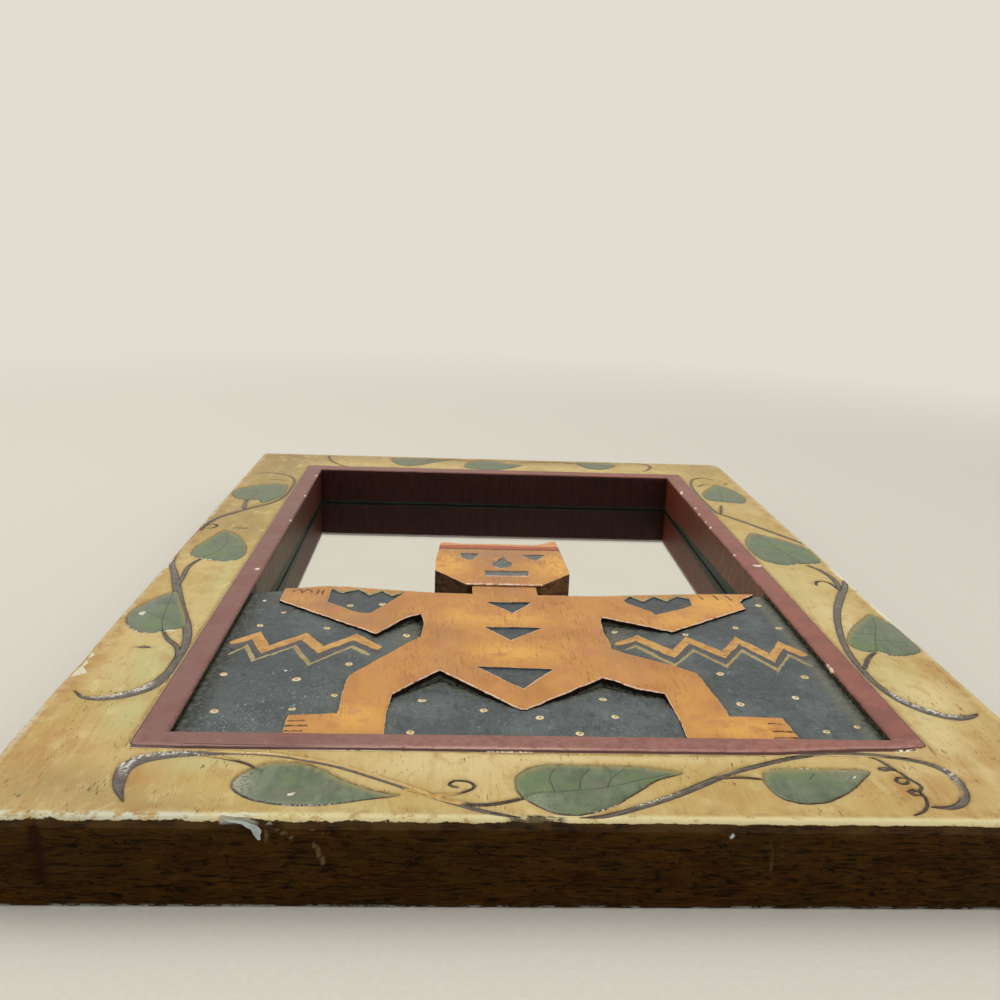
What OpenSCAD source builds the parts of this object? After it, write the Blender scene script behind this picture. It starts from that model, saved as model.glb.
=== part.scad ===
// Carved wooden wall mirror, lying on its back.
// Millimetres. Origin at the middle of the back face, +Y to the top edge, +Z out of the face.
// Four butted boards make the frame. A mitred liner lips over the glass, and a relief-carved
// panel with a standing figure fills the lower part of the opening. Its head stands free of
// the panel, over the glass. Glass and backing are held by six turn buttons.

/* [Frame boards] */
// Width of the whole frame
frame_w = 350; // [320:5:420]
// Length of the whole frame
frame_l = 485; // [450:5:600]
// Thickness of the boards
frame_t = 31; // [28:1:38]
// Width of each board
board_w = 39; // [38:1:48]
// Rounding of the four outer corners, seen from the front
corner_r = 4; // [2:0.5:8]
// Rounding of the boards' outer edges
arris_r = 1.2; // [0.6:0.2:2]
// Diameter of the dowels in the corner joints
corner_dowel_d = 8; // [6:1:10]
// Length of the dowels in the corner joints
corner_dowel_l = 40; // [30:2:50]
// Distance between the two dowels of a joint
corner_dowel_gap = 20; // [14:1:22]

/* [Liner] */
// Width of the liner strips, seen from the front
liner_w = 11; // [9:0.5:14]
// How far the liner stands proud of the boards
liner_proud = 0.6; // [0.2:0.1:1.5]

/* [Glass and backing] */
// Thickness of the mirror glass
glass_t = 3; // [2:0.5:5]
// Thickness of the backing board
backing_t = 2.5; // [2:0.5:5]
// Gap round the glass and its backing
glass_gap = 1; // [0.5:0.25:2]

/* [Carved panel] */
// Height of the panel, from its bottom edge to the figure's hands
panel_l = 147.5; // [130:0.5:165]
// Glue gap on each side of the panel
panel_gap = 0.2; // [0.1:0.1:0.5]
// Gap between the back of the panel and the glass
panel_lift = 0.5; // [0.3:0.1:1.5]
// How far the figure's face lies below the top of the liner
figure_drop = 1; // [0.5:0.1:3]
// Depth of the ground at the armpits and between the legs
ground_deep = 4.8; // [3:0.2:7]
// Depth of the ground at the sides of the panel
ground_side = 1.4; // [0.8:0.2:2.8]
// Depth of the ground along the bottom edge, between the legs
ground_foot = 0.8; // [0.6:0.2:2.8]
// Depth of the pockets inside the bent arms
pocket_depth = 0.8; // [0.4:0.1:1.6]
// Depth of the three triangles cut in the trunk
triangle_depth = 1; // [0.4:0.1:2]
// Diameter of the dowels that hold the panel
panel_dowel_d = 6; // [4:1:8]
// Depth of these dowels in the panel
panel_dowel_in = 15; // [10:1:25]
// Depth of these dowels in the side boards
panel_dowel_out = 12; // [8:1:20]
// How far these dowels lie below the middle of the panel's thickness
panel_dowel_drop = 2; // [1:0.5:3]

/* [Head] */
// Width of the head
head_w = 69; // [56:1:84]
// Length of the head, from chin to crown
head_l = 67.5; // [56:0.5:84]
// Width of the chin
chin_w = 37; // [28:1:48]
// Height of the slanted jaw
jaw_l = 20.5; // [12:0.5:28]
// Width of the neck
neck_w = 31.5; // [24:0.5:36]
// Length of the neck
neck_l = 11; // [6:0.5:18]
// How far the head stands above the neck
head_rise = 0.9; // [0.4:0.1:2]
// Distance of the head from the middle of the panel, negative to the left
head_x = -4.5; // [-12:0.5:12]
// Depth of the cut eyes, nose and mouth
face_depth = 0.7; // [0.3:0.1:1.5]
// Width of the headband, up to the crown
band_w = 10.5; // [6:0.5:12]
// Width and depth of the groove under the headband
band_groove = 1.4; // [0.8:0.1:2]
// Height of the crown's raised left end
crown_left = 2; // [1:0.5:4]
// Height of the crown's raised right end
crown_right = 7; // [3:0.5:9]

/* [Turn buttons] */
// Length of a button's arm from its pivot
button_arm = 18; // [15:0.5:24]
// Length of a button's tail from its pivot
button_tail = 6; // [5:0.5:8]
// Width of a button
button_w = 9; // [8:0.5:11]
// Thickness of a button
button_t = 1; // [0.8:0.1:1.6]
// Distance of the pivots from the opening's edge
pivot_in = 7; // [6:0.5:10]
// Distance of the side buttons from the middle of the frame
button_y = 120; // [60:5:130]
// Radius of the pivot screws' shanks
pivot_r = 1.25; // [1:0.05:1.75]
// Radius of the pivot screws' heads
pivot_head_r = 3; // [2.4:0.1:3.6]
// Thickness of the pivot screws' heads
pivot_head_t = 0.7; // [0.5:0.1:1.2]
// Depth of the pivot screws in the boards
pivot_depth = 12; // [8:1:18]

/* [Keyhole hangers] */
// Width of a hanger
hanger_w = 16; // [15:0.5:20]
// Length of a hanger
hanger_l = 42; // [40:1:56]
// Thickness of a hanger
hanger_t = 1.5; // [1:0.1:2]
// Radius of the hole that takes the wall screw's head
entry_r = 4.5; // [3.5:0.25:5]
// Width of the slot above that hole
slot_w = 5; // [4:0.25:5.5]
// Travel of the wall screw along the slot
slot_travel = 12; // [9:0.5:13]
// Depth of the cavity behind the hanger
cavity_d = 8; // [6:0.5:12]
// Distance of the hangers' middles from the top edge of the frame
hanger_y = 62; // [60:1:100]
// Radius of the hanger screws' shanks
hanger_screw_r = 1.5; // [1.25:0.05:1.75]
// Depth of the hanger screws in the boards
hanger_screw_depth = 13; // [8:1:18]
// How far these screws stand out from the centres of the hanger's round ends
hanger_screw_out = 2; // [1:0.5:3]
// Room in the cavity round the wall screw's head
cavity_room = 1; // [0.5:0.25:2]

/* [Hidden] */
$fn = 64;
// Glue gap round a dowel or a screw in its hole, on the radius
hole_gap = 0.05;
// Running gap of a turning piece, at its faces
run_gap = 0.1;
// Running gap of a button's bore on its pivot screw, on the radius
pivot_gap = 0.05;
// Gap round a piece that is let into wood
inlet_gap = 0.2;
// Gap between a button and the walls of its pocket
pocket_gap = 1.5;
// Extra length of a cut past the face that it opens
cut = 1;
// Corner radius that a router leaves
router_r = 3;

// Opening between the boards
opening_w = frame_w - 2 * board_w;
opening_l = frame_l - 2 * board_w;
// Opening inside the liner
light_w = opening_w - 2 * liner_w;
light_l = opening_l - 2 * liner_w;
// Levels from the back face forwards
head_z = run_gap;
button_z = head_z + pivot_head_t + run_gap;
backing_z = button_z + button_t + run_gap;
glass_z = backing_z + backing_t;
liner_z = glass_z + glass_t;
panel_z = liner_z + panel_lift;
liner_top = frame_t + liner_proud;
figure_top = liner_top - figure_drop;
head_top = figure_top + head_rise;
// Panel width, and the scale of its drawing, which was measured on a panel 249.6 by 147.5
panel_w = light_w - 2 * panel_gap;
panel_y = -light_l / 2;
draw_x = panel_w / 249.6;
draw_y = panel_l / 147.5;
// Scale of the face's drawing, which was measured on a head 69 by 67.5
face_x = head_w / 69;
face_y = head_l / 67.5;
// Chin level above the panel's bottom edge, where the shoulders are at 140.5 on the drawing
chin_y = draw_y * 140.5 + neck_l;
// Levels of the two kinds of dowel, and places of the panel's dowels above its bottom edge
corner_dowel_z = frame_t / 2;
panel_dowel_z = (panel_z + figure_top) / 2 - panel_dowel_drop;
panel_dowel_y = [panel_l * 0.2, panel_l * 0.72];
panel_dowel_l = panel_dowel_in + panel_gap + liner_w + panel_dowel_out;
// Pivots of the turn buttons, with the direction that each arm points in
pivot_x = opening_w / 2 + pivot_in;
pivot_y = opening_l / 2 + pivot_in;
pivots = [
    [-pivot_x, -button_y, 0],
    [-pivot_x, button_y, 0],
    [pivot_x, -button_y, 180],
    [pivot_x, button_y, 180],
    [0, pivot_y, -90],
    [0, -pivot_y, 90]
];
// Keyhole hangers
hanger_x = (frame_w - board_w) / 2;
hanger_screw_y = hanger_l / 2 - hanger_w / 2 + hanger_screw_out;
hanger_head_r = 2 * hanger_screw_r;
cavity_r = entry_r + cavity_room;
entry_y = -slot_travel / 2;
slot_end_y = slot_travel / 2;

// The figure's outline on the panel, from the left hand anticlockwise, at the panel's own scale.
// The panel's bottom edge is y = 0. The hands and shoulders run out at the panel's top edge.
left_side = [
    [-110, 160], [-110, 127], [-62.5, 89.5], [-58.5, 96], [-50, 109], [-44, 113.5],
    [-42.5, 103], [-43, 88], [-48.5, 80.5], [-60, 63], [-69.5, 48.5], [-70.5, 40],
    [-70.5, 16.5], [-87.5, 15], [-88, 0]
];
between_legs = [
    [-52.5, 0], [-53, 16], [-52, 32.5], [-34.5, 54], [-4.5, 21.5], [-2, 21.5],
    [30, 49.5], [42, 40], [52, 36], [53, 16], [53, 0]
];
right_side = [
    [93.5, 0], [92, 17.5], [72.5, 18.5], [71.5, 33], [69, 55], [60, 62.5],
    [44, 72.5], [37.5, 78.5], [38.5, 83], [37, 94], [37.5, 109.5], [38.5, 113.5],
    [51, 107], [68, 97.5], [109.5, 128], [109.5, 137], [112.5, 141], [118.5, 146.5], [122, 160]
];
// The panel's top edge, from right to left, which rises at both hands
top_edge = [
    [124.8, 145], [123, 147.5], [101, 147], [88, 146], [60, 143], [38, 140.3],
    [-33, 140.8], [-54, 143], [-68, 145], [-80, 147], [-91, 147.5], [-110, 142.8], [-124.8, 139.5]
];
// Pockets inside the bent arms, whose upper edges are notched with teeth
left_pocket = [
    [-88, 144], [-88, 127], [-75.5, 116], [-71.5, 113.2], [-67.3, 113.2], [-57.3, 131],
    [-53, 140.8], [-58.7, 135], [-63.7, 141.8], [-69, 135.4], [-75.3, 143.6], [-82.7, 138.2]
];
right_pocket = [
    [52.5, 135.5], [53.5, 132], [63.5, 121], [64.5, 117.8], [80, 127], [84.5, 131],
    [85.2, 139], [79.7, 142.5], [73.3, 135.2], [68, 141.2], [61.7, 134.2], [56.3, 141]
];
// Triangles cut in the trunk, from the chest down
trunk_triangles = [
    [[-14, 130.5], [7.7, 130.5], [-2, 116.5]],
    [[-15.7, 99.8], [10, 99.5], [-4.7, 85.2]],
    [[-20, 58.2], [11, 56.8], [-2.3, 38.5]]
];
// Zones of the ground, each with a slope of its own
left_zone = [[-150, -5], [-62, -5], [-62, 60], [-35, 76], [-35, 170], [-150, 170]];
right_zone = [[150, -5], [150, 170], [30, 170], [30, 76], [62, 60], [62, -5]];
middle_zone = [[-62, -5], [62, -5], [62, 45], [0, 62], [-62, 45]];
// Distance from the middle at which each side's slope starts, and at which both run out
slope_left = 36;
slope_right = 31;
slope_out = 66;
// Heights above the bottom edge between which the ground slopes between the legs
slope_foot = 22;
slope_top = 56;
// Eyes, nose and mouth, drawn about the middle of the chin
face_shapes = [
    [[-21.5, 49.5], [-11, 48.5], [-15.5, 37.8], [-18.3, 37.8], [-21, 43]],
    [[11.5, 48], [25, 49], [18.5, 38.3], [15.5, 41]],
    [[1.5, 43], [5.6, 33], [5.3, 29], [2.5, 26], [-0.5, 25], [-4, 27.5], [-5.2, 31.5]],
    [[-9, 13.2], [13, 13.8], [13.5, 21.2], [-9, 21]]
];

// Points of a drawing at the panel's real size
function at_size(points) = [for (p = points) [p[0] * draw_x, p[1] * draw_y]];
function at_head(points) = [for (p = points) [p[0] * face_x, p[1] * face_y]];

// A bar with round ends, lying along Y
module slot_shape(length, r) {
    square([2 * r, length], center = true);
    for (s = [-1, 1]) translate([0, s * length / 2]) circle(r);
}

// A rectangle from the origin, with its corners rounded by r
module rounded(w, h, r) {
    translate([r, 0]) square([w - 2 * r, h]);
    translate([0, r]) square([w, h - 2 * r]);
    for (x = [r, w - r], y = [r, h - r]) translate([x, y]) circle(r);
}

// The whole frame block, with its outer edges and corners rounded
module frame_block() {
    intersection() {
        translate([-frame_w / 2, -frame_l / 2, 0])
            linear_extrude(frame_t) rounded(frame_w, frame_l, corner_r);
        translate([-frame_w / 2, 0, 0]) rotate([90, 0, 0])
            linear_extrude(frame_l + 2 * cut, center = true) rounded(frame_w, frame_t, arris_r);
        translate([0, -frame_l / 2, 0]) rotate([90, 0, 90])
            linear_extrude(frame_w + 2 * cut, center = true) rounded(frame_l, frame_t, arris_r);
    }
}

// Shallow pocket behind a turn button, with the pivot at the origin and the arm along +X
module button_pocket() {
    back = button_tail + pocket_gap;
    half = button_arm + pocket_gap;
    translate([-back, -half, -cut])
        linear_extrude(backing_z + cut) rounded(back + pivot_in + router_r + cut, 2 * half, router_r);
    translate([0, 0, backing_z - cut])
        cylinder(r = pivot_r + hole_gap, h = pivot_depth + cut + hole_gap);
}

module button_pockets() {
    for (p = pivots) translate([p[0], p[1], 0]) rotate([0, 0, p[2]]) button_pocket();
}

// The dowels of all four corner joints, each grown by gap
module corner_dowel_set(gap) {
    width = corner_dowel_d + 2 * gap;
    length = corner_dowel_l + 2 * gap;
    for (x = [-1, 1], y = [-1, 1], d = [-1, 1])
        translate([
            x * opening_w / 2, y * (frame_l - board_w) / 2 + d * corner_dowel_gap / 2, corner_dowel_z
        ])
            rotate([0, 90, 0]) cylinder(d = width, h = length, center = true);
}

// The dowels at both sides of the carved panel, each grown by gap
module panel_dowel_set(gap) {
    start = panel_w / 2 - panel_dowel_in - gap;
    width = panel_dowel_d + 2 * gap;
    length = panel_dowel_l + 2 * gap;
    for (s = [-1, 1], y = panel_dowel_y)
        translate([s * start, panel_y + y, panel_dowel_z])
            rotate([0, s * 90, 0]) cylinder(d = width, h = length);
}

// Recess, cavity and screw holes for the left hanger
module hanger_recess() {
    translate([-hanger_x, frame_l / 2 - hanger_y, 0]) {
        translate([0, 0, -cut])
            linear_extrude(hanger_t + cut) slot_shape(hanger_l - hanger_w, hanger_w / 2 + inlet_gap);
        linear_extrude(hanger_t + cavity_d) slot_shape(slot_travel, cavity_r);
        for (s = [-1, 1]) translate([0, s * hanger_screw_y, 0])
            cylinder(r = hanger_screw_r + hole_gap, h = hanger_t + hanger_screw_depth + hole_gap);
    }
}

// The left board, full length. The right one is its mirror image.
module stile() {
    difference() {
        intersection() {
            frame_block();
            translate([-frame_w / 2, -frame_l / 2, 0]) cube([board_w, frame_l, frame_t]);
        }
        button_pockets();
        corner_dowel_set(hole_gap);
        panel_dowel_set(hole_gap);
        hanger_recess();
    }
}

// The top board, between the two side boards. The bottom one is its mirror image.
module rail() {
    difference() {
        intersection() {
            frame_block();
            translate([-opening_w / 2, opening_l / 2, 0]) cube([opening_w, board_w, frame_t]);
        }
        button_pockets();
        corner_dowel_set(hole_gap);
    }
}

module left_stile() {
    color("#c8af78") stile();
}

module right_stile() {
    color("#c8af78") mirror([1, 0, 0]) stile();
}

module top_rail() {
    color("#c4aa72") rail();
}

module bottom_rail() {
    color("#c4aa72") mirror([0, 1, 0]) rail();
}

module corner_dowels() {
    color("#d9c08e") corner_dowel_set(0);
}

// One mitred liner strip along X, of length l at its outer edge, which lies on y = 0
module mitred_strip(l) {
    translate([0, 0, liner_z])
        linear_extrude(liner_top - liner_z)
            polygon([
                [-l / 2, 0], [l / 2, 0], [l / 2 - liner_w, -liner_w], [-l / 2 + liner_w, -liner_w]
            ]);
}

module side_strip() {
    difference() {
        translate([-opening_w / 2, 0, 0]) rotate([0, 0, 90]) mitred_strip(opening_l);
        panel_dowel_set(hole_gap);
    }
}

module end_strip() {
    translate([0, opening_l / 2, 0]) mitred_strip(opening_w);
}

module liner_left() {
    color("#7d4b48") side_strip();
}

module liner_right() {
    color("#7d4b48") mirror([1, 0, 0]) side_strip();
}

module liner_top() {
    color("#7d4b48") end_strip();
}

module liner_bottom() {
    color("#7d4b48") mirror([0, 1, 0]) end_strip();
}

// A sheet that fills the opening behind the liner
module sheet(t) {
    linear_extrude(t)
        square([opening_w - 2 * glass_gap, opening_l - 2 * glass_gap], center = true);
}

module mirror_glass() {
    color("#d9d2c3") translate([0, 0, glass_z]) sheet(glass_t);
}

module backing_board() {
    color("#7a5a3c") translate([0, 0, backing_z]) sheet(backing_t);
}

module panel_outline() {
    polygon(concat([[-panel_w / 2, 0], [panel_w / 2, 0]], at_size(top_edge)));
}

// The ground round the figure, within one zone
module ground_shape(zone) {
    intersection() {
        difference() {
            square([2 * panel_w, 4 * panel_l], center = true);
            polygon(at_size(concat(left_side, between_legs, right_side)));
        }
        polygon(at_size(zone));
    }
}

// Everything above a slope that starts ground_deep below the figure's face at x = start and
// rises to ground_side at x = slope_out. It is level from there to the panel's side.
module slope_x(start) {
    side = panel_w / 2 + cut;
    rotate([90, 0, 0])
        linear_extrude(4 * panel_l, center = true)
            polygon([
                [start, figure_top - ground_deep], [slope_out * draw_x, figure_top - ground_side],
                [side, figure_top - ground_side], [side, figure_top + cut], [start, figure_top + cut]
            ]);
}

// The same along Y, level at ground_foot up to y = start and sloping down to ground_deep at y = end
module slope_y(start, end) {
    rotate([90, 0, 90])
        linear_extrude(panel_w, center = true)
            polygon([
                [-cut, figure_top - ground_foot], [start, figure_top - ground_foot],
                [end, figure_top - ground_deep], [end, figure_top + cut], [-cut, figure_top + cut]
            ]);
}

module ground_cut() {
    intersection() {
        linear_extrude(figure_top + cut) ground_shape(left_zone);
        mirror([1, 0, 0]) slope_x(slope_left * draw_x);
    }
    intersection() {
        linear_extrude(figure_top + cut) ground_shape(right_zone);
        slope_x(slope_right * draw_x);
    }
    intersection() {
        linear_extrude(figure_top + cut) ground_shape(middle_zone);
        slope_y(slope_foot * draw_y, slope_top * draw_y);
    }
}

// A shallow cut of the given depth below level top
module shallow_cut(points, top, depth) {
    translate([0, 0, top - depth]) linear_extrude(depth + cut) polygon(points);
}

// The head from the chin up, with its slanted jaw and its two raised ends of the crown
module head_outline() {
    side = head_w / 2;
    polygon([
        [-chin_w / 2, 0], [chin_w / 2, 0], [side, jaw_l - 2 * face_y], [side, jaw_l + 5 * face_y],
        [side - 2 * face_x, head_l + crown_right - 1], [side - 4 * face_x, head_l + crown_right],
        [side - 13 * face_x, head_l], [10 * face_x - side, head_l],
        [5 * face_x - side, head_l + crown_left], [2 * face_x - side, head_l],
        [-side, jaw_l + 15 * face_y], [-side, jaw_l]
    ]);
}

module head_block() {
    translate([head_x, chin_y, panel_z]) linear_extrude(head_top - panel_z) head_outline();
    translate([head_x - neck_w / 2, chin_y - 2 * neck_l, panel_z])
        cube([neck_w, 2 * neck_l + jaw_l / 2, figure_top - panel_z]);
}

// Eyes, nose, mouth, the groove under the headband and the ledge above it
module face_cuts() {
    translate([head_x, chin_y, 0]) {
        for (f = face_shapes) shallow_cut(at_head(f), head_top, face_depth);
        translate([-head_w, head_l - band_w - band_groove, head_top - band_groove / 2])
            cube([2 * head_w, band_groove, band_groove]);
        translate([-head_w, head_l - band_w / 3, head_top - face_depth])
            cube([2 * head_w, band_w + crown_right, head_rise]);
    }
}

module carved_panel() {
    color("#cd9155")
        difference() {
            translate([0, panel_y, 0])
                difference() {
                    union() {
                        translate([0, 0, panel_z]) linear_extrude(figure_top - panel_z) panel_outline();
                        head_block();
                    }
                    ground_cut();
                    shallow_cut(at_size(left_pocket), figure_top, pocket_depth);
                    shallow_cut(at_size(right_pocket), figure_top, pocket_depth);
                    for (t = trunk_triangles) shallow_cut(at_size(t), figure_top, triangle_depth);
                    face_cuts();
                }
            panel_dowel_set(hole_gap);
        }
}

module panel_dowels() {
    color("#d9c08e") panel_dowel_set(0);
}

// A turn button with round ends, at its pivot, pointing along its own arm
module turn_button(n) {
    length = button_arm + button_tail - button_w;
    color("#b5985a")
        translate([pivots[n][0], pivots[n][1], button_z]) rotate([0, 0, pivots[n][2]])
            difference() {
                translate([(button_arm - button_tail) / 2, 0, 0])
                    rotate([0, 0, 90]) linear_extrude(button_t) slot_shape(length, button_w / 2);
                translate([0, 0, -cut]) cylinder(r = pivot_r + pivot_gap, h = button_t + 2 * cut);
            }
}

// A round-headed screw with a slot, head downwards, its head's inner face at z = 0
module pivot_screw() {
    difference() {
        translate([0, 0, -pivot_head_t]) cylinder(r = pivot_head_r, h = pivot_head_t);
        translate([-pivot_head_r, -0.4, -pivot_head_t - cut])
            cube([2 * pivot_head_r, 0.8, pivot_head_t / 2 + cut]);
    }
    cylinder(r = pivot_r, h = backing_z - button_z + run_gap + pivot_depth);
}

module button_screws() {
    color("#9a9a9a")
        for (p = pivots)
            translate([p[0], p[1], button_z - run_gap]) rotate([0, 0, 30 + p[2]]) pivot_screw();
}

// A keyhole hanger: a steel strip with round ends, an entry hole and a slot above it
module hanger() {
    translate([0, frame_l / 2 - hanger_y, 0])
        difference() {
            linear_extrude(hanger_t) slot_shape(hanger_l - hanger_w, hanger_w / 2);
            translate([0, entry_y, -cut]) cylinder(r = entry_r, h = hanger_t + 2 * cut);
            translate([-slot_w / 2, entry_y, -cut]) cube([slot_w, slot_travel, hanger_t + 2 * cut]);
            translate([0, slot_end_y, -cut]) cylinder(d = slot_w, h = hanger_t + 2 * cut);
            for (s = [-1, 1]) translate([0, s * hanger_screw_y, 0]) hanger_screw_shape(hole_gap);
        }
}

// A countersunk screw, its head flush with z = 0, grown by gap
module hanger_screw_shape(gap) {
    cylinder(r1 = hanger_head_r + gap, r2 = hanger_screw_r + gap, h = hanger_t);
    cylinder(r = hanger_screw_r + gap, h = hanger_t + hanger_screw_depth);
}

module hanger_left() {
    color("#a8a8a8") translate([-hanger_x, 0, 0]) hanger();
}

module hanger_right() {
    color("#a8a8a8") translate([hanger_x, 0, 0]) hanger();
}

module hanger_screws() {
    color("#9a9a9a")
        for (x = [-hanger_x, hanger_x], s = [-1, 1])
            translate([x, frame_l / 2 - hanger_y + s * hanger_screw_y, 0]) hanger_screw_shape(0);
}

left_stile();
right_stile();
top_rail();
bottom_rail();
corner_dowels();
liner_left();
liner_right();
liner_top();
liner_bottom();
mirror_glass();
backing_board();
carved_panel();
panel_dowels();
turn_button(0);  // turn_button_1
turn_button(1);  // turn_button_2
turn_button(2);  // turn_button_3
turn_button(3);  // turn_button_4
turn_button(4);  // turn_button_5
turn_button(5);  // turn_button_6
button_screws();
hanger_left();
hanger_right();
hanger_screws();
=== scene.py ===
import math

import bmesh
import bpy
import numpy as np
from mathutils import Matrix, Vector, noise
from mathutils.geometry import delaunay_2d_cdt


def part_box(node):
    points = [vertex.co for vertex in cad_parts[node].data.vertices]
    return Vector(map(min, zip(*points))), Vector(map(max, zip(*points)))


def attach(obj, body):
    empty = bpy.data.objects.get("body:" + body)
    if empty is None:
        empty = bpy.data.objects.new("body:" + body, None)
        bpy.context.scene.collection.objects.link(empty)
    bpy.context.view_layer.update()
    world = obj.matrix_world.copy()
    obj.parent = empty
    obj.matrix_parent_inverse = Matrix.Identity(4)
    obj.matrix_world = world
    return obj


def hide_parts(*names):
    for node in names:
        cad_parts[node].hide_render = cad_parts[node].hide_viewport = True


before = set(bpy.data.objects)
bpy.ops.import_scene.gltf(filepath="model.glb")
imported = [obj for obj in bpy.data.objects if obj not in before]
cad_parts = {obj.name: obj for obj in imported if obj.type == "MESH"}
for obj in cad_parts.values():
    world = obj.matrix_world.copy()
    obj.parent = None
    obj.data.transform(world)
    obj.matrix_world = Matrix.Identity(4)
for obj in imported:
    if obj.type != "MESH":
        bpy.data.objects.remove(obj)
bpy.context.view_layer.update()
rng = np.random.default_rng(7)
noise.seed_set(7)

MM = 0.001

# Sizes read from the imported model, in millimetres
stile_low, stile_high = (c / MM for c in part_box("left_stile"))
liner_low, liner_high = (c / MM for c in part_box("liner_left"))
panel_low, panel_high = (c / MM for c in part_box("carved_panel"))
glass_low, glass_high = (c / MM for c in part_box("mirror_glass"))
HALF_W = -stile_low.x
HALF_L = stile_high.y
FACE_Z = stile_high.z
OPEN_X = -stile_high.x
OPEN_Y = liner_high.y
LIGHT_X = -liner_high.x
LINER_Z = liner_low.z
LINER_TOP = liner_high.z
PANEL_Y = panel_low.y
PANEL_Z = panel_low.z
HEAD_TOP = panel_high.z

# Sizes of the carving, in millimetres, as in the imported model
FIGURE_TOP = LINER_TOP - 1.0
GROUND_DEEP = 4.8
GROUND_SIDE = 1.4
GROUND_FOOT = 0.8
POCKET_DEPTH = 0.8
TRIANGLE_DEPTH = 1.0
FACE_DEPTH = 0.7
CORNER_R = 4.0
ARRIS_R = 1.2

# Small sizes of the surface, in millimetres
FACE_PLAY = 0.12        # how far the boards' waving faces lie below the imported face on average
PAINT_RISE = 0.16       # thickness of the zigzags' and dots' paint
STEEP = 0.14            # width in plan of the steep sides of the carving
LEDGE_DROP = 0.14       # how far the cream ledge beside the liner lies below the boards' faces
BACK_ARRIS = 0.35       # rounding of the arrises at the back
SILVER_GAP = 0.04       # room between the silvering and the backing
SIDE_LEVELS = 20        # rings of faces on the sides of the boards
LINER_LEVELS = 8        # and on the inner walls of the liner
PANEL_LEVELS = 9        # and on the sides of the panel
FAR_OFF = 9.0           # what a mask of distances holds where nothing is near
LIP_OFF = 30.0          # and what the mask of distances from the liner holds on the sides

# The camera that took the photograph, in millimetres and degrees
CAMERA = Vector((-31.44, -497.96, 197.25))
PITCH, YAW, ROLL = 15.02, 2.92, 2.156
LENS = 35.38


# Points and outlines in plan

def smooth(points, step=1.0, closed=False):
    """A round curve through the points, with new points about step apart.
    Any further values that a point has, such as a width, are carried along."""
    pts = np.array(points, float)
    count = len(pts)
    made = []
    for i in range(count if closed else count - 1):
        a, b, c, d = (pts[(i + k) % count] if closed else pts[min(max(i + k, 0), count - 1)]
                      for k in (-1, 0, 1, 2))
        pieces = max(1, round(float(np.hypot(*(c - b)[:2])) / step))
        t = np.arange(pieces)[:, None] / pieces
        made.append(0.5 * (2 * b + (c - a) * t + (2 * a - 5 * b + 4 * c - d) * t * t
                           + (3 * b - 3 * c + d - a) * t ** 3))
    if not closed:
        made.append(pts[-1:])
    return np.concatenate(made)


def straight(points, step=1.5, closed=True):
    """The points with more of them set in along each straight stretch."""
    pts = np.array(points, float)
    made = []
    for i in range(len(pts) if closed else len(pts) - 1):
        a, b = pts[i], pts[(i + 1) % len(pts)]
        pieces = max(1, round(float(np.hypot(*(b - a)[:2])) / step))
        made.append(a + (b - a) * np.arange(pieces)[:, None] / pieces)
    if not closed:
        made.append(pts[-1:])
    return np.concatenate(made)


def hand_cut(points, amount=0.12, size=6.0):
    """The points moved a little, as a hand-held knife wanders."""
    moves = [noise.noise_vector(Vector((x / size, y / size, 3.7))) for x, y in points]
    return points + amount * np.array([(m.x, m.y) for m in moves])


def normals(points, closed):
    """Directions square to the line at each point, to its left, longer at its corners."""
    ahead = np.roll(points, -1, 0) - points
    behind = points - np.roll(points, 1, 0)
    if not closed:
        ahead[-1], behind[0] = behind[-1], ahead[0]
    ahead /= np.maximum(np.linalg.norm(ahead, axis=1, keepdims=True), 1e-9)
    behind /= np.maximum(np.linalg.norm(behind, axis=1, keepdims=True), 1e-9)
    along = ahead + behind
    along /= np.maximum(np.linalg.norm(along, axis=1, keepdims=True), 0.35)
    mitre = 1.0 / np.maximum(np.sum(along * ahead, axis=1, keepdims=True), 0.45)
    return np.stack([-along[:, 1], along[:, 0]], 1) * mitre


def area(points):
    x, y = points[:, 0], points[:, 1]
    return 0.5 * float(np.sum(x * np.roll(y, -1) - y * np.roll(x, -1)))


def grown(points, by):
    """A closed outline moved outwards by a small distance."""
    return points - normals(points, True) * by * (1 if area(points) > 0 else -1)


def ribbon(points, widths):
    """The closed outline of a band along a line, with a width at each point."""
    side = normals(points, False) * (np.asarray(widths) * np.ones(len(points)))[:, None] / 2
    return np.concatenate([points + side, (points - side)[::-1]])


def circle(centre, r, count=12):
    t = np.linspace(0, 2 * math.pi, count, endpoint=False)
    return np.stack([centre[0] + r * np.cos(t), centre[1] + r * np.sin(t)], 1)


def inside(points, outline):
    """For each point, whether it lies within the closed outline."""
    x, y = points[:, 0], points[:, 1]
    hit = np.zeros(len(points), bool)
    for (x0, y0), (x1, y1) in zip(outline, np.roll(outline, -1, 0)):
        if y0 != y1:
            hit ^= ((y0 > y) != (y1 > y)) & (x < (x1 - x0) * (y - y0) / (y1 - y0) + x0)
    return hit


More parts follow.
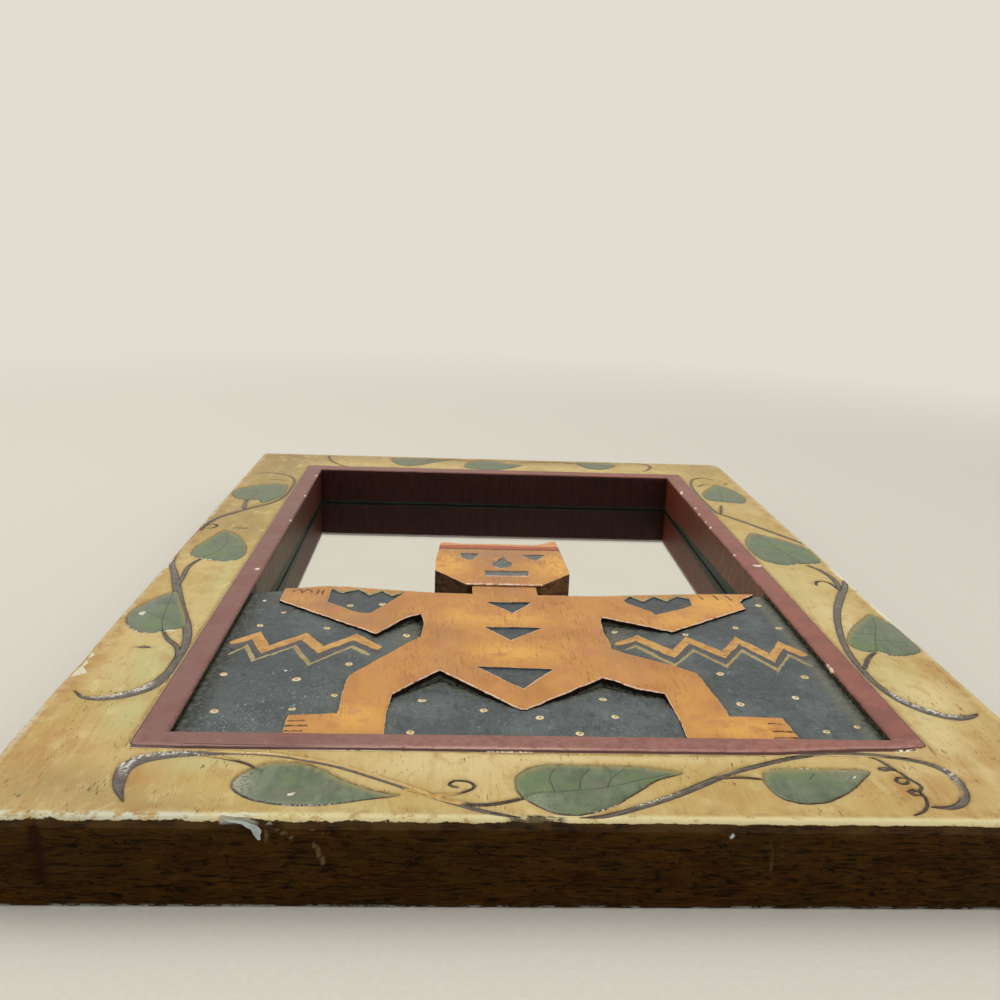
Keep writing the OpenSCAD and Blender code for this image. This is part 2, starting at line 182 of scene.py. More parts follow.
def nearest(points, line, closed=True):
    """For each point, its distance to a line, the place along it from 0 to 1,
    and how far the point lies to the back of it."""
    ends = np.roll(line, -1, 0) if closed else line[1:]
    starts = line if closed else line[:-1]
    best = np.full(len(points), 1e9)
    place = np.zeros(len(points))
    behind = np.zeros(len(points))
    for i, (a, b) in enumerate(zip(starts, ends)):
        ab = b - a
        t = np.clip((points - a) @ ab / max(float(ab @ ab), 1e-12), 0, 1)
        off = points - a - t[:, None] * ab
        d = np.hypot(off[:, 0], off[:, 1])
        closer = d < best
        best[closer] = d[closer]
        place[closer] = (i + t[closer]) / len(starts)
        behind[closer] = off[closer, 1]
    return best, place, behind


def signed(points, outline):
    """Distance to a closed outline, below zero inside it."""
    d = nearest(points, outline)[0]
    return np.where(inside(points, outline), -d, d)


def around(points, line, margin=4.0):
    """Numbers of the points within the line's box, grown by a margin."""
    low, high = line.min(0) - margin, line.max(0) + margin
    return np.nonzero(np.all((points > low) & (points < high), axis=1))[0]


def fbm(points, size, seed, octaves=3):
    """Soft random values between about -1 and 1, with features of the given size."""
    return np.array([noise.fractal(Vector((p[0] / size, p[1] / size, seed)), 1.0, 2.0, octaves)
                     for p in points])


def spots(points, places):
    """Soft patches, each given as (x, y, radius along X, radius along Y, strength)."""
    total = np.zeros(len(points))
    for x, y, rx, ry, strength in places:
        total += strength * np.exp(-((points[:, 0] - x) / rx) ** 2 - ((points[:, 1] - y) / ry) ** 2)
    return np.clip(total, 0, 1)


# Meshes

def triangulate(boundary, outlines, seeds):
    """Triangles that fill the boundary and follow every outline.
    Gives the points, the triangles and, for each triangle, the numbers of the outlines round it."""
    verts = [Vector(p) for p in (boundary if area(boundary) > 0 else boundary[::-1])]
    faces = [list(range(len(verts)))]
    for outline in outlines:
        start = len(verts)
        verts += [Vector(p) for p in (outline if area(outline) > 0 else outline[::-1])]
        faces.append(list(range(start, len(verts))))
    verts += [Vector(p) for p in seeds]
    points, _, tris, _, _, owners = delaunay_2d_cdt(verts, [], faces, 1, 0.004, True)
    keep = [i for i, o in enumerate(owners) if 0 in o]
    return (np.array([(p.x, p.y) for p in points]), [list(tris[i]) for i in keep],
            [{n - 1 for n in owners[i] if n > 0} for i in keep])


def grid_points(boundary, step):
    """Slightly scattered points over the inside of a boundary."""
    low, high = boundary.min(0), boundary.max(0)
    xs = np.arange(low[0] + step / 2, high[0], step)
    ys = np.arange(low[1] + step / 2, high[1], step)
    pts = np.stack(np.meshgrid(xs, ys), -1).reshape(-1, 2)
    return pts + rng.uniform(-0.22, 0.22, pts.shape) * step


def beside(line, closed, offsets):
    """Points on both sides of a line, at the given distances."""
    n = normals(line, closed)
    return np.concatenate([line + n * d for o in offsets for d in (-o, o)])


def within(boundary, groups):
    """The seed points of all groups that lie clear of the boundary."""
    seeds = np.concatenate(groups)
    return seeds[inside(seeds, grown(boundary, -0.3))]


def make_object(name, bm, materials, body, replaces=(), sharp=38):
    """An object from a bmesh in millimetres, riding on a body."""
    bmesh.ops.scale(bm, vec=(MM, MM, MM), verts=bm.verts)
    mesh = bpy.data.meshes.new(name)
    bm.to_mesh(mesh)
    bm.free()
    for m in materials:
        mesh.materials.append(m)
    for p in mesh.polygons:
        p.use_smooth = True
    mesh.set_sharp_from_angle(angle=math.radians(sharp))
    obj = bpy.data.objects.new(name, mesh)
    bpy.context.scene.collection.objects.link(obj)
    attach(obj, body)
    if replaces:
        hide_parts(*replaces)
    return obj


def relief(points, heights, tris, kinds, masks):
    """A bmesh of a carved face: heights at the points, a material number for each triangle,
    and named masks, each a value at every point."""
    bm = bmesh.new()
    layers = {k: bm.verts.layers.float.new(k) for k in masks}
    made = {}
    for i in sorted({i for t in tris for i in t}):
        v = bm.verts.new((points[i][0], points[i][1], heights[i]))
        for k, layer in layers.items():
            v[layer] = float(masks[k][i])
        made[i] = v
    for t, kind in zip(tris, kinds):
        corners = [made[i] for i in t]
        if bm.faces.get(corners) is None:
            bm.faces.new(corners).material_index = kind
    bm.normal_update()
    if sum(f.normal.z for f in bm.faces) < 0:
        bmesh.ops.reverse_faces(bm, faces=bm.faces)
    return bm, layers


def skirt(bm, edges, rings, place, kind):
    """Walls that go down from a row of boundary edges, ring by ring.
    place(vertex, ring) moves each new point, and kind(ring) gives its material number."""
    made = []
    for ring in range(rings):
        new = bmesh.ops.extrude_edge_only(bm, edges=edges)["geom"]
        verts = {g for g in new if isinstance(g, bmesh.types.BMVert)}
        for v in verts:
            place(v, ring)
        for f in (g for g in new if isinstance(g, bmesh.types.BMFace)):
            f.material_index = kind(ring)
            made.append(f)
        edges = [g for g in new if isinstance(g, bmesh.types.BMEdge)
                 and g.is_boundary and all(v in verts for v in g.verts)]
    return edges, made


def cad_faces(node, keep):
    """The faces of a CAD node for which keep(centre, normal) holds, as a bmesh in millimetres."""
    bm = bmesh.new()
    bm.from_mesh(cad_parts[node].data)
    bmesh.ops.scale(bm, vec=(1 / MM, 1 / MM, 1 / MM), verts=bm.verts)
    bmesh.ops.remove_doubles(bm, verts=bm.verts, dist=0.002)
    bm.normal_update()
    drop = [f for f in bm.faces if not keep(f.calc_center_median(), f.normal)]
    bmesh.ops.delete(bm, geom=drop, context="FACES")
    return bm


def join_into(bm, other, kind):
    """Adds another bmesh's faces to bm, and gives their points."""
    made = {v: bm.verts.new(v.co) for v in other.verts}
    for f in other.faces:
        bm.faces.new([made[v] for v in f.verts]).material_index = kind
    other.free()
    return list(made.values())


# Materials

def srgb(r, g, b):
    """A colour written in 0 to 255 screen values, as the linear colour that a shader takes."""
    linear = [c / 12.92 if c <= 0.04045 else ((c + 0.055) / 1.055) ** 2.4
              for c in (r / 255, g / 255, b / 255)]
    return (*linear, 1.0)


def node(tree, kind, inputs, output=0, **settings):
    """A new node with its inputs and settings, and what one of its outputs gives.
    A colour of three numbers is in screen values."""
    made = tree.nodes.new("ShaderNode" + kind)
    for key, value in settings.items():
        setattr(made, key, value)
    for key, value in inputs.items():
        socket = made.inputs[key]
        if isinstance(value, Value):
            tree.links.new(value.socket, socket)
        else:
            socket.default_value = srgb(*value) if socket.type == "RGBA" and len(value) == 3 else value
    return Value(tree, made.outputs[output])


class Value:
    """What a node gives. Numbers can be added, multiplied and stepped."""

    def __init__(self, tree, socket):
        self.tree, self.socket = tree, socket

    def maths(self, operation, *others):
        return node(self.tree, "Math", dict(enumerate((self, *others))), operation=operation)

    def __add__(self, other):
        return self.maths("ADD", other)

    def __sub__(self, other):
        return self.maths("SUBTRACT", other)

    def __mul__(self, other):
        return self.maths("MULTIPLY", other)

    def __abs__(self):
        return self.maths("ABSOLUTE")

    def most(self, other):
        return self.maths("MAXIMUM", other)

    def step(self, low, high, out_low=0.0, out_high=1.0):
        """A soft step, from out_low where the number is low to out_high where it is high."""
        inputs = dict(enumerate((self, low, high, out_low, out_high)))
        return node(self.tree, "MapRange", inputs, interpolation_type="SMOOTHSTEP")


class Paint:
    """A material being made. Other colours are laid over its first one."""

    def __init__(self, name, colour=None):
        self.material = bpy.data.materials.new(name)
        self.material.use_nodes = True
        self.tree = self.material.node_tree
        self.tree.nodes.clear()
        self.surface = self.tree.nodes.new("ShaderNodeOutputMaterial").inputs["Surface"]
        self.coords = node(self.tree, "TexCoord", {}, "Object")
        self.x, self.y, self.z = (node(self.tree, "SeparateXYZ", {0: self.place()}, axis)
                                  for axis in "XYZ")
        self.colour = colour

    def place(self, stretch=(1, 1, 1), shift=0.0, turn=0.0):
        """Object position in millimetres, turned in plan, and divided by stretch."""
        where = self.coords
        if turn:
            where = node(self.tree, "VectorRotate", {"Vector": where, "Angle": turn})
        return node(self.tree, "Mapping", {"Vector": where, "Scale": [1 / MM / s for s in stretch],
                                           "Location": (shift, shift * 1.7, shift * 2.3)})

    def noise(self, size, stretch=(1, 1, 1), detail=4.0, rough=0.55, shift=0.0, distort=0.0, turn=0.0):
        """Noise whose features are size millimetres across, times stretch."""
        return node(self.tree, "TexNoise", {
            "Vector": self.place([size * s for s in stretch], shift, turn), "Scale": 1.0,
            "Detail": detail, "Roughness": rough, "Distortion": distort}, "Fac")

    def mask(self, name):
        """A number that the mesh carries at each of its points."""
        return node(self.tree, "Attribute", {}, "Fac", attribute_name=name)

    def blend(self, a, b, amount):
        """Colour a, with colour b over it by an amount from 0 to 1."""
        return node(self.tree, "Mix", {0: amount, 6: a, 7: b}, 2, data_type="RGBA")

    def lay(self, colour, amount):
        self.colour = self.blend(self.colour, colour, amount)

    def finish(self, rough, bump=None, depth=0.1, metallic=0.0, coat=0.0, specular=0.5, **others):
        """The material, with the height of its bumps in millimetres."""
        inputs = {"Base Color": self.colour, "Roughness": rough, "Metallic": metallic,
                  "Coat Weight": coat, "Coat Roughness": 0.2, "Specular IOR Level": specular, **others}
        if bump is not None:
            height = {"Height": bump, "Strength": 1.0, "Distance": depth * MM}
            inputs["Normal"] = node(self.tree, "Bump", height)
        self.shader = node(self.tree, "BsdfPrincipled", inputs)
        self.tree.links.new(self.shader.socket, self.surface)
        return self.material


def stain(p):
    """Brown stain on the boards' outer sides, with short dark dashes of grain. Gives the grain."""
    grain = p.noise(1.1, stretch=(7, 7, 0.9), detail=3, rough=0.6, distort=1.3, shift=2)
    p.colour = (62, 37, 3)
    p.lay((54, 34, 3), p.noise(15, stretch=(1.5, 1.5, 0.6), detail=3, shift=6).step(0.44, 0.56))
    p.lay((47, 22, 1), p.noise(11, stretch=(1.5, 1.5, 0.7), detail=4, shift=61).step(0.48, 0.6) * 0.7)
    p.lay((87, 57, 17), grain.step(0.42, 0.3) * 0.5)
    p.lay((18, 7, 0), grain.step(0.52, 0.62) * 0.85)
    knots = p.noise(3.4, stretch=(1.8, 1.8, 1), detail=4, rough=0.7, shift=41)
    p.lay((14, 5, 0), knots.step(0.58, 0.65) * 0.9)
    knocks = p.noise(1.2, stretch=(2.4, 2.4, 1), detail=4, rough=0.7, shift=19).step(0.7, 0.73)
    where = p.noise(24, detail=1, shift=44).step(0.54, 0.62)
    p.lay((150, 128, 92), knocks * where * 0.6)
    return grain


def cream(p):
    """Cream glaze over the boards' faces, with soft blotches. Gives its brush marks and flecks."""
    p.colour = (212, 188, 128)
    p.lay((200, 173, 108), p.noise(38, detail=3).step(0.4, 0.62))
    soft = p.noise(7, stretch=(1, 2, 1), detail=4, shift=51)
    p.lay((198, 192, 134), p.mask("olive") * soft.step(0.2, 0.46))
    p.lay((182, 134, 70), p.mask("amber") * soft.step(0.72, 0.44) * 0.9)
    p.lay((150, 130, 92), p.mask("dusk") * soft.step(0.15, 0.5) * 0.9)
    p.lay((226, 206, 150), p.mask("light") * soft.step(0.2, 0.46))
    p.lay((172, 148, 96), p.mask("shade") * soft.step(0.2, 0.5))
    blot = p.noise(8, stretch=(1, 1.5, 1), detail=5, rough=0.6, shift=11, distort=0.6)
    p.lay((188, 144, 84), blot.step(0.52, 0.68) * 0.5)
    p.lay((222, 204, 148), blot.step(0.44, 0.3) * 0.5)
    streak = p.noise(1.5, stretch=(1, 13, 1), detail=6, rough=0.7, shift=4)
    near = p.y.step(-60, -190, 0.35, 1.0)
    p.lay((170, 130, 72), streak.step(0.52, 0.72) * near * 0.34)
    p.lay((226, 206, 150), streak.step(0.46, 0.3) * near * 0.26)
    thin = p.noise(0.62, stretch=(1, 6, 1), detail=2, shift=23)
    cluster = p.noise(13, detail=2, shift=31).step(0.5, 0.6) * near
    flecks = thin.step(0.62, 0.68) * cluster
    p.lay((112, 78, 40), flecks * 0.8)
    return streak, flecks


def frame_paint():
    """The boards' faces and arrises, down to where the side stain is full."""
    p = Paint("frame_paint")
    grain = stain(p)
    p.lay((86, 62, 24), p.noise(9, stretch=(1.6, 1.6, 1), detail=4, shift=33).step(0.42, 0.6) * 0.6)
    dark = p.colour
    streak, flecks = cream(p)
    drop, rim, lip = p.mask("side"), p.mask("rim"), p.mask("lip")
    ragged = p.noise(4, detail=6, rough=0.75, shift=8)
    near = p.y.step(-236, -241)
    edge = (near * 0.75 + 0.25).most(p.mask("rubbed_and_lit"))
    p.lay((172, 128, 72), lip.step(3.4, 0.4) * ragged.step(0.34, 0.66) * 0.55)
    p.lay((132, 104, 62), lip.step(2.0, 0.2) * ragged.step(0.3, 0.5) * 0.6)
    p.lay((116, 88, 56), p.mask("halo") * ragged.step(0.3, 0.62) * 0.7)
    gathered = p.noise(9, detail=5, shift=15).step(0.42, 0.62)
    p.lay((166, 122, 66), rim.step(9.0, 0.5) * gathered * 0.6)
    # A pale band along the outer arrises: worn paint, and in part a painted highlight, whitest along
    # the stiles' outer edges
    pale = p.blend((226, 214, 164), (216, 216, 192), p.x.step(-95, -110))
    chip = p.noise(4.5, stretch=(1.5, 1.5, 1), detail=6, rough=0.75, shift=27)
    pale = p.blend(pale, (248, 244, 226), p.mask("rubbed_and_lit") * 0.9)
    whole = chip + p.x.step(-60, 30) * 0.08
    p.lay(pale, rim.step(2.6, 0.5) * whole.step(0.42, 0.52) * edge * 0.95)
    p.lay((60, 44, 26), p.mask("smear").step(0.3, 0.6) * chip.step(0.4, 0.5) * 0.9)
    teeth = p.noise(7, stretch=(1, 1, 0.6), detail=6, rough=0.75, shift=47)
    p.lay(dark, (drop + (teeth - 0.5) * p.x.step(-60, 30, 5.0, 2.2)).step(1.2, 1.4))
    bare = p.mask("torn").step(0.35, 0.6) * p.x.step(-103, -98) * p.x.step(-78, -84)
    p.lay((168, 166, 150), bare * chip.step(0.36, 0.48) * drop.step(3.2, 2.0) * 0.9)
    height = streak + flecks * -0.9 + chip * rim.step(3.0, 0.5) * edge * 1.5
    height += grain * drop.step(0.5, 2.0) * 2.0
    return p.finish(streak.step(0.3, 0.75, 0.4, 0.58), height, 0.13, specular=0.14)


def side_paint():
    """The boards' sides, with their scratches and the pale fibres along the foot."""
    p = Paint("side_stain")
    grain = stain(p)
    rim = p.mask("rim")
    warm = p.noise(9, stretch=(1.6, 1.6, 1), detail=4, shift=33)
    p.lay((84, 60, 20), rim.step(8.0, 1.5) * warm.step(0.42, 0.6) * 0.6)
    ragged = p.noise(4, stretch=(2.2, 2.2, 1), detail=6, rough=0.75, shift=29)
    p.lay((150, 160, 152), p.mask("foot").step(1.6, 0.5) * ragged.step(0.49, 0.55) * 0.9)
    scraped = p.mask("torn").step(0.3, 0.8) * p.x.step(-84.4, -83.6)
    p.lay((112, 90, 62), scraped * p.x.step(30, -30, 0.3, 0.65))
    p.lay((40, 18, 8), p.mask("torn") * p.x.step(-140, -145) * 0.9)
    knock = p.x.step(53, 53.5) * p.x.step(57.4, 57)
    p.lay((186, 198, 202), p.mask("torn").step(0.2, 0.45) * knock)
    pits = p.noise(2.2, stretch=(1.6, 1.6, 1), detail=6, rough=0.7, shift=71)
    return p.finish(grain.step(0.3, 0.7, 0.42, 0.62), grain * 1.4 + pits, 0.45, specular=0.05)


def shine(p, speck):
    """A broken white or golden gloss where the light catches the paint."""
    p.lay((216, 178, 104), p.mask("gilt").step(0.15, 0.5) * speck.step(0.32, 0.44) * 0.95)
    p.lay((242, 238, 228), p.mask("glint").step(0.15, 0.6) * speck.step(0.49, 0.55))


def vine_paint():
    """Dark grey-brown stems, darker still under a painted broken highlight in places."""
    p = Paint("vine_paint", (80, 72, 66))
    vary = p.noise(3.2, detail=5, rough=0.65, shift=3)
    p.lay((110, 100, 90), vary.step(0.38, 0.64))
    p.lay((56, 50, 46), p.mask("glint") * 0.7)
    p.lay((118, 96, 60), p.y.step(60, 150) * 0.85)
    speck = p.noise(1.0, detail=5, rough=0.75, shift=9)
    p.lay((58, 48, 40), speck.step(0.54, 0.66) * 0.6)
    shine(p, speck)
    return p.finish(0.32, speck, 0.3, coat=0.2, specular=0.35)


def line_paint():
    """Dark glaze that has settled into the cut lines."""
    p = Paint("line_paint", (58, 47, 38))
    vary = p.noise(2.5, detail=5, rough=0.65, shift=13)
    p.lay((92, 74, 52), vary.step(0.4, 0.62))
    p.lay((112, 90, 58), p.y.step(60, 150) * 0.85)
    # Lighter olive along the leaves' upper edges, in part painted highlight
    p.lay((136, 124, 82), p.mask("north") * 0.85)
    speck = p.noise(1.0, detail=5, rough=0.75, shift=9)
    shine(p, speck)
    return p.finish(0.42, vary, 0.12, coat=0.1, specular=0.3)


def leaf_paint():
    """Grey green, brushed along the leaf, with paler and browner patches and worn tips."""
    p = Paint("leaf_paint", (78, 95, 68))
    brush = p.noise(4.5, stretch=(1, 2.2, 1), detail=6, rough=0.7, shift=5)
    p.lay((112, 126, 98), brush.step(0.36, 0.66))
    p.lay((98, 122, 76), p.noise(17, detail=2, shift=12).step(0.48, 0.64) * 0.75)
    p.lay((104, 105, 88), p.noise(12, detail=3, shift=38).step(0.5, 0.66) * 0.6)
    p.lay((118, 124, 112), p.mask("grey") * brush.step(0.3, 0.5) * 0.8)
    # Lighter olive along the leaves' upper edges, in part painted highlight
    p.lay((146, 136, 84), p.mask("north") * brush.step(0.3, 0.5) * 0.8)
    p.lay((112, 110, 84), p.mask("dusk") * 0.8)
    tip = p.noise(1.1, detail=5, rough=0.75, shift=61)
    p.lay((176, 172, 150), p.mask("tip") * tip.step(0.42, 0.52) * 0.85)
    speck = p.noise(1.4, detail=4, rough=0.7, shift=33)
    p.lay((206, 210, 190), speck.step(0.73, 0.76) * 0.7)
    return p.finish(brush.step(0.3, 0.7, 0.36, 0.5), brush, 0.12, coat=0.12, specular=0.4)


def chip_paint():
    """White ground coat, bare where the paint has broken off."""
    p = Paint("chip_paint", (232, 226, 200))
    grain = p.noise(1.5, detail=5, rough=0.7)
    p.lay((204, 198, 172), grain.step(0.35, 0.7))
    return p.finish(0.7, grain, 0.2)


def liner_paint():
    """Maroon on the liner's top, brushed and rubbed, with a painted sheen and a painted highlight along
    the near strip, and a dark seam beside the boards' cream, in part painted shade.
    """
    p = Paint("liner_paint", (146, 80, 68))
    rim, lap = p.mask("rim"), p.mask("lap")
    streak = p.noise(1.3, stretch=(5, 5, 1), detail=6, rough=0.7)
    cloud = p.noise(22, detail=5, shift=5)
    p.lay((128, 84, 76), p.x.step(110, -120))
    p.lay((122, 64, 56), cloud.step(0.44, 0.62) * 0.65)
    p.lay((160, 114, 102), streak.step(0.54, 0.72) * 0.55)
    p.lay((100, 54, 48), streak.step(0.47, 0.32) * 0.5)
    ragged = p.noise(3.4, detail=6, rough=0.75, shift=9)
    p.lay((70, 32, 28), rim.step(1.6, 0.1) * ragged.step(0.44, 0.6) * 0.7)
    close = p.y.step(-190, -194)
    # The near strip is painted lighter and pinker towards its right, as a painted sheen
    p.lay((178, 134, 124), close * p.x.step(-100, -20, 0.1, 1.0) * ragged.step(0.36, 0.6) * 0.34)
    # A painted highlight along the near strip's rounded outer arris
    raised = lap.step(0.3, 0.8) * lap.step(3.0, 1.2)
    raised *= p.x.step(-100, -20, 0.2, 1.0) * p.x.step(5, 30, 1.0, 0.4)
    p.lay((206, 162, 150), raised * close * ragged.step(0.34, 0.5) * 0.7)
    # A dark seam where the maroon meets the cream: the joint, and on the near strip painted shade on
    # the step below its arris
    seam = ragged.step(0.3, 0.46, 0.35, 0.8)
    seam += close * (seam * -1 + 0.9)
    p.lay((66, 34, 30), lap.step(0.62, 0.4) * seam)
    line = abs(p.x * 0.02 + p.y + 203.5).step(0.5, 0.2) * p.x.step(-124, -114) * p.x.step(-70, -84)
    p.lay((66, 30, 32), line * ragged.step(0.36, 0.46) * 0.9)
    lapped = lap.step(0.04, -0.04)
    p.lay((202, 172, 112), lapped)
    stem = p.blend((82, 72, 58), (112, 98, 76), ragged.step(0.4, 0.6))
    p.lay(stem, abs(p.mask("arch")).step(1.2, 1.0) * lapped)
    where = p.x.step(122.6, 123.6).most(p.x.step(-18, -17) * p.x.step(-2, -3))
    ledge = p.mask("step")
    dashes = ledge.step(-1.6, -1.2) * ledge.step(-0.2, -0.5) * where
    p.lay((244, 234, 206), dashes * p.noise(1.1, detail=3, rough=0.6, shift=35).step(0.45, 0.5))
    fleck = p.noise(2.2, detail=4, rough=0.7, shift=14).step(0.7, 0.72)
    p.lay((232, 212, 190), fleck * rim.step(1.2, 0.0))
    p.lay((240, 222, 196), p.mask("bare").step(0.3, 0.5) * ragged.step(0.38, 0.46))
    return p.finish(streak.step(0.3, 0.7, 0.36, 0.52), streak + ragged, 0.14, coat=0.1, specular=0.4)


def liner_wall_paint():
    """The liner's inner walls: maroon at the far end, darkened by painted shade on the far wall,
    streaky brown nearer, a dark green painted shadow at the foot, and soot with painted shade beside
    the panel.
    """
    p = Paint("liner_wall")
    across = p.x.step(-20, 20)
    brush = p.noise(1.5, stretch=(1, 1, 7), detail=6, rough=0.7)
    p.colour = p.blend((84, 38, 31), (98, 44, 30), across)
    p.lay(p.blend((114, 98, 78), (114, 80, 60), across), p.y.step(170, -30))
    p.lay((54, 22, 16), brush.step(0.5, 0.68) * 0.75)
    p.lay((152, 132, 104), brush.step(0.47, 0.32) * p.y.step(130, 0) * 0.6)
    # Painted shade makes the far wall darker
    p.lay(p.blend((38, 14, 11), (54, 22, 16), brush.step(0.4, 0.66)), p.y.step(190, 192))
    ragged = p.noise(3.4, detail=5, rough=0.7, shift=9)
    # A dark green painted shadow at the foot of the walls, higher towards the near end
    foot = p.z + p.y * 0.028 + ragged * 1.4 - (glass_high.z + 7.1)
    p.lay(p.blend((24, 36, 31), (44, 58, 50), ragged.step(0.4, 0.64)), foot.step(0.3, -0.3))
    # Beside the panel the walls are near black: soot and painted shade in the narrow gap, with pale
    # specks
    soot_and_shade = p.noise(1.6, detail=6, rough=0.78, shift=53)
    lower = p.blend((28, 26, 17), (64, 60, 42), soot_and_shade.step(0.45, 0.56))
    lower = p.blend(lower, (132, 126, 102), soot_and_shade.step(0.56, 0.63) * 0.85)
    p.lay(lower, p.y.step(-40, -46))
    p.lay((60, 26, 22), p.mask("rim").step(1.6, 0.3) * ragged.step(0.44, 0.6) * 0.7)
    p.lay((240, 222, 196), p.mask("bare").step(0.3, 0.5) * ragged.step(0.38, 0.46))
    return p.finish(0.5, brush, 0.12, specular=0.15)


def figure_paint():
    """Orange ochre, with lighter patches, brown grain and rubbed edges, which are pale along the lower
    edges in part from painted highlight.
    """
    p = Paint("figure_paint", (204, 143, 70))
    cloud = p.noise(15, stretch=(1, 1.6, 1), detail=5, rough=0.6, shift=2)
    p.lay((188, 126, 58), cloud.step(0.38, 0.64))
    soft = p.noise(9, detail=5, shift=7)
    p.lay((172, 124, 82), p.mask("dull") * soft.step(0.25, 0.5))
    p.lay((230, 170, 78), p.mask("glow") * soft.step(0.3, 0.5))
    grain = p.noise(0.75, stretch=(1, 10, 1), detail=6, rough=0.72, shift=13)
    zone = p.noise(18, stretch=(1, 1.6, 1), detail=3, shift=17).step(0.44, 0.6)
    p.lay((128, 80, 42), grain.step(0.53, 0.66) * zone * 0.8)
    p.lay((222, 170, 108), grain.step(0.42, 0.3) * 0.4)
    blush = p.noise(10, detail=5, rough=0.65, shift=29)
    p.lay((198, 126, 80), blush.step(0.52, 0.66) * 0.6)
    scrape = p.noise(0.5, stretch=(3, 1, 1), detail=3, shift=83, distort=0.8).step(0.66, 0.72)
    where = p.noise(14, detail=2, shift=87).step(0.54, 0.62)
    p.lay((236, 206, 164), scrape * where * 0.6)
    ragged = p.noise(3, detail=6, rough=0.75, shift=3)
    edge = p.mask("edge")
    # Pinkish white where paint is worn off along the lower edges and the chin, in part painted
    # highlight
    p.lay((240, 208, 190), p.mask("rub").step(0.2, 0.7) * ragged.step(0.38, 0.5) * 0.9)
    p.lay((238, 212, 172), edge.step(0.5, 0.9) * ragged.step(0.44, 0.56) * 0.8)
    p.lay((120, 72, 38), edge.step(0.4, 0.8) * ragged.step(0.46, 0.34) * 0.7)
    return p.finish(grain.step(0.3, 0.75, 0.38, 0.54), grain + ragged, 0.1, coat=0.06, specular=0.32)


def slate_paint():
    """Blue-grey ground, scratched and brushed, mossy beside the walls, and darker there with soot and
    painted shade.
    """
    p = Paint("slate_paint", (66, 76, 81))
    brush = p.noise(1.7, stretch=(1, 2.4, 1), detail=4, rough=0.65, distort=1.3)
    p.lay((88, 98, 100), p.noise(19, detail=4, shift=6).step(0.4, 0.62))
    p.lay((34, 41, 45), brush.step(0.48, 0.34) * 0.8)
    p.lay((126, 138, 140), brush.step(0.55, 0.7) * 0.6)
    blot = p.noise(5, stretch=(1, 1.6, 1), detail=6, rough=0.7, shift=43)
    p.lay((46, 52, 53), blot.step(0.54, 0.66) * 0.7)
    p.lay((50, 58, 63), p.mask("dim") * 0.6)
    for turn, shift, amount in ((0.1, 19, 0.55), (-0.6, 27, 0.35), (0.9, 33, 0.3)):
        scratch = p.noise(1.0, stretch=(7, 1, 1), detail=5, rough=0.7, shift=shift, distort=1.8,
                          turn=turn)
        where = p.noise(16, detail=2, shift=shift + 7).step(0.46, 0.6)
        p.lay((146, 160, 166), scratch.step(0.58, 0.67) * where * amount)
    scuff = p.noise(0.9, stretch=(1, 2.4, 1), detail=6, rough=0.8, distort=1.4, shift=91)
    p.lay((176, 190, 196), p.mask("scuff") * scuff.step(0.56, 0.62) * 0.8)
    ragged = p.noise(2.6, detail=6, rough=0.75, shift=9)
    p.lay((88, 88, 70), p.mask("moss") * ragged.step(0.4, 0.56) * 0.85)
    p.lay((120, 120, 100), p.mask("pale") * ragged.step(0.32, 0.48) * 0.9)
    # Near black soot and painted shade in the corners beside the walls
    p.lay((24, 24, 20), p.mask("soot_and_shade") * ragged.step(0.62, 0.44))
    speck = p.noise(0.9, detail=5, rough=0.75, shift=77).step(0.6, 0.68)
    p.lay((138, 134, 110), p.mask("soot_and_shade") * p.mask("moss") * speck * 0.7)
    return p.finish(brush.step(0.3, 0.7, 0.36, 0.58), brush + ragged, 0.3, specular=0.4)


def wall_paint():
    """Nearly black glaze on the steep sides of the carving, rubbed off in patches at their feet."""
    p = Paint("wall_paint", (17, 12, 9))
    vary = p.noise(2.4, stretch=(1, 1, 0.5), detail=5, rough=0.7)
    p.lay((60, 44, 28), vary.step(0.52, 0.7))
    foot = p.z.step(FIGURE_TOP - 1.9, FIGURE_TOP - 3.0)
    p.lay((96, 100, 88), foot * p.noise(3, detail=6, rough=0.75, shift=63).step(0.4, 0.54) * 0.9)
    return p.finish(0.6, vary, 0.2, specular=0.1)


def inlay_paint():
    """Slate in the sunk shapes, greyer on the face."""
    p = Paint("inlay_paint", (60, 68, 73))
    brush = p.noise(3, stretch=(1.5, 1, 1), detail=6, rough=0.7)
    p.lay((78, 86, 88), brush.step(0.4, 0.62))
    p.lay(p.blend((98, 100, 98), (120, 120, 114), brush.step(0.4, 0.62)), p.y.step(-40, -34))
    p.lay((104, 110, 108), p.noise(1.1, detail=5, rough=0.75, shift=8).step(0.58, 0.66) * 0.8)
    return p.finish(0.46, brush, 0.14, specular=0.3)


def core_paint():
    """Brown stain on the sawn sides of the panel, the neck and the head, lighter to the right."""
    p = Paint("core_paint")
    grain = p.noise(1.1, stretch=(4, 4, 1), detail=6, rough=0.75)
    across = p.x.step(-20, 20)
    p.colour = p.blend((44, 22, 8), (84, 52, 28), across)
    p.lay(p.blend((96, 56, 24), (142, 98, 58), across), grain.step(0.38, 0.62))
    p.lay((32, 16, 6), p.noise(4, detail=6, rough=0.7, shift=4).step(0.52, 0.62) * 0.8)
    p.lay((166, 126, 84), p.noise(1.6, detail=5, rough=0.7, shift=24).step(0.66, 0.71) * 0.5)
    return p.finish(0.5, grain, 0.3, specular=0.2)


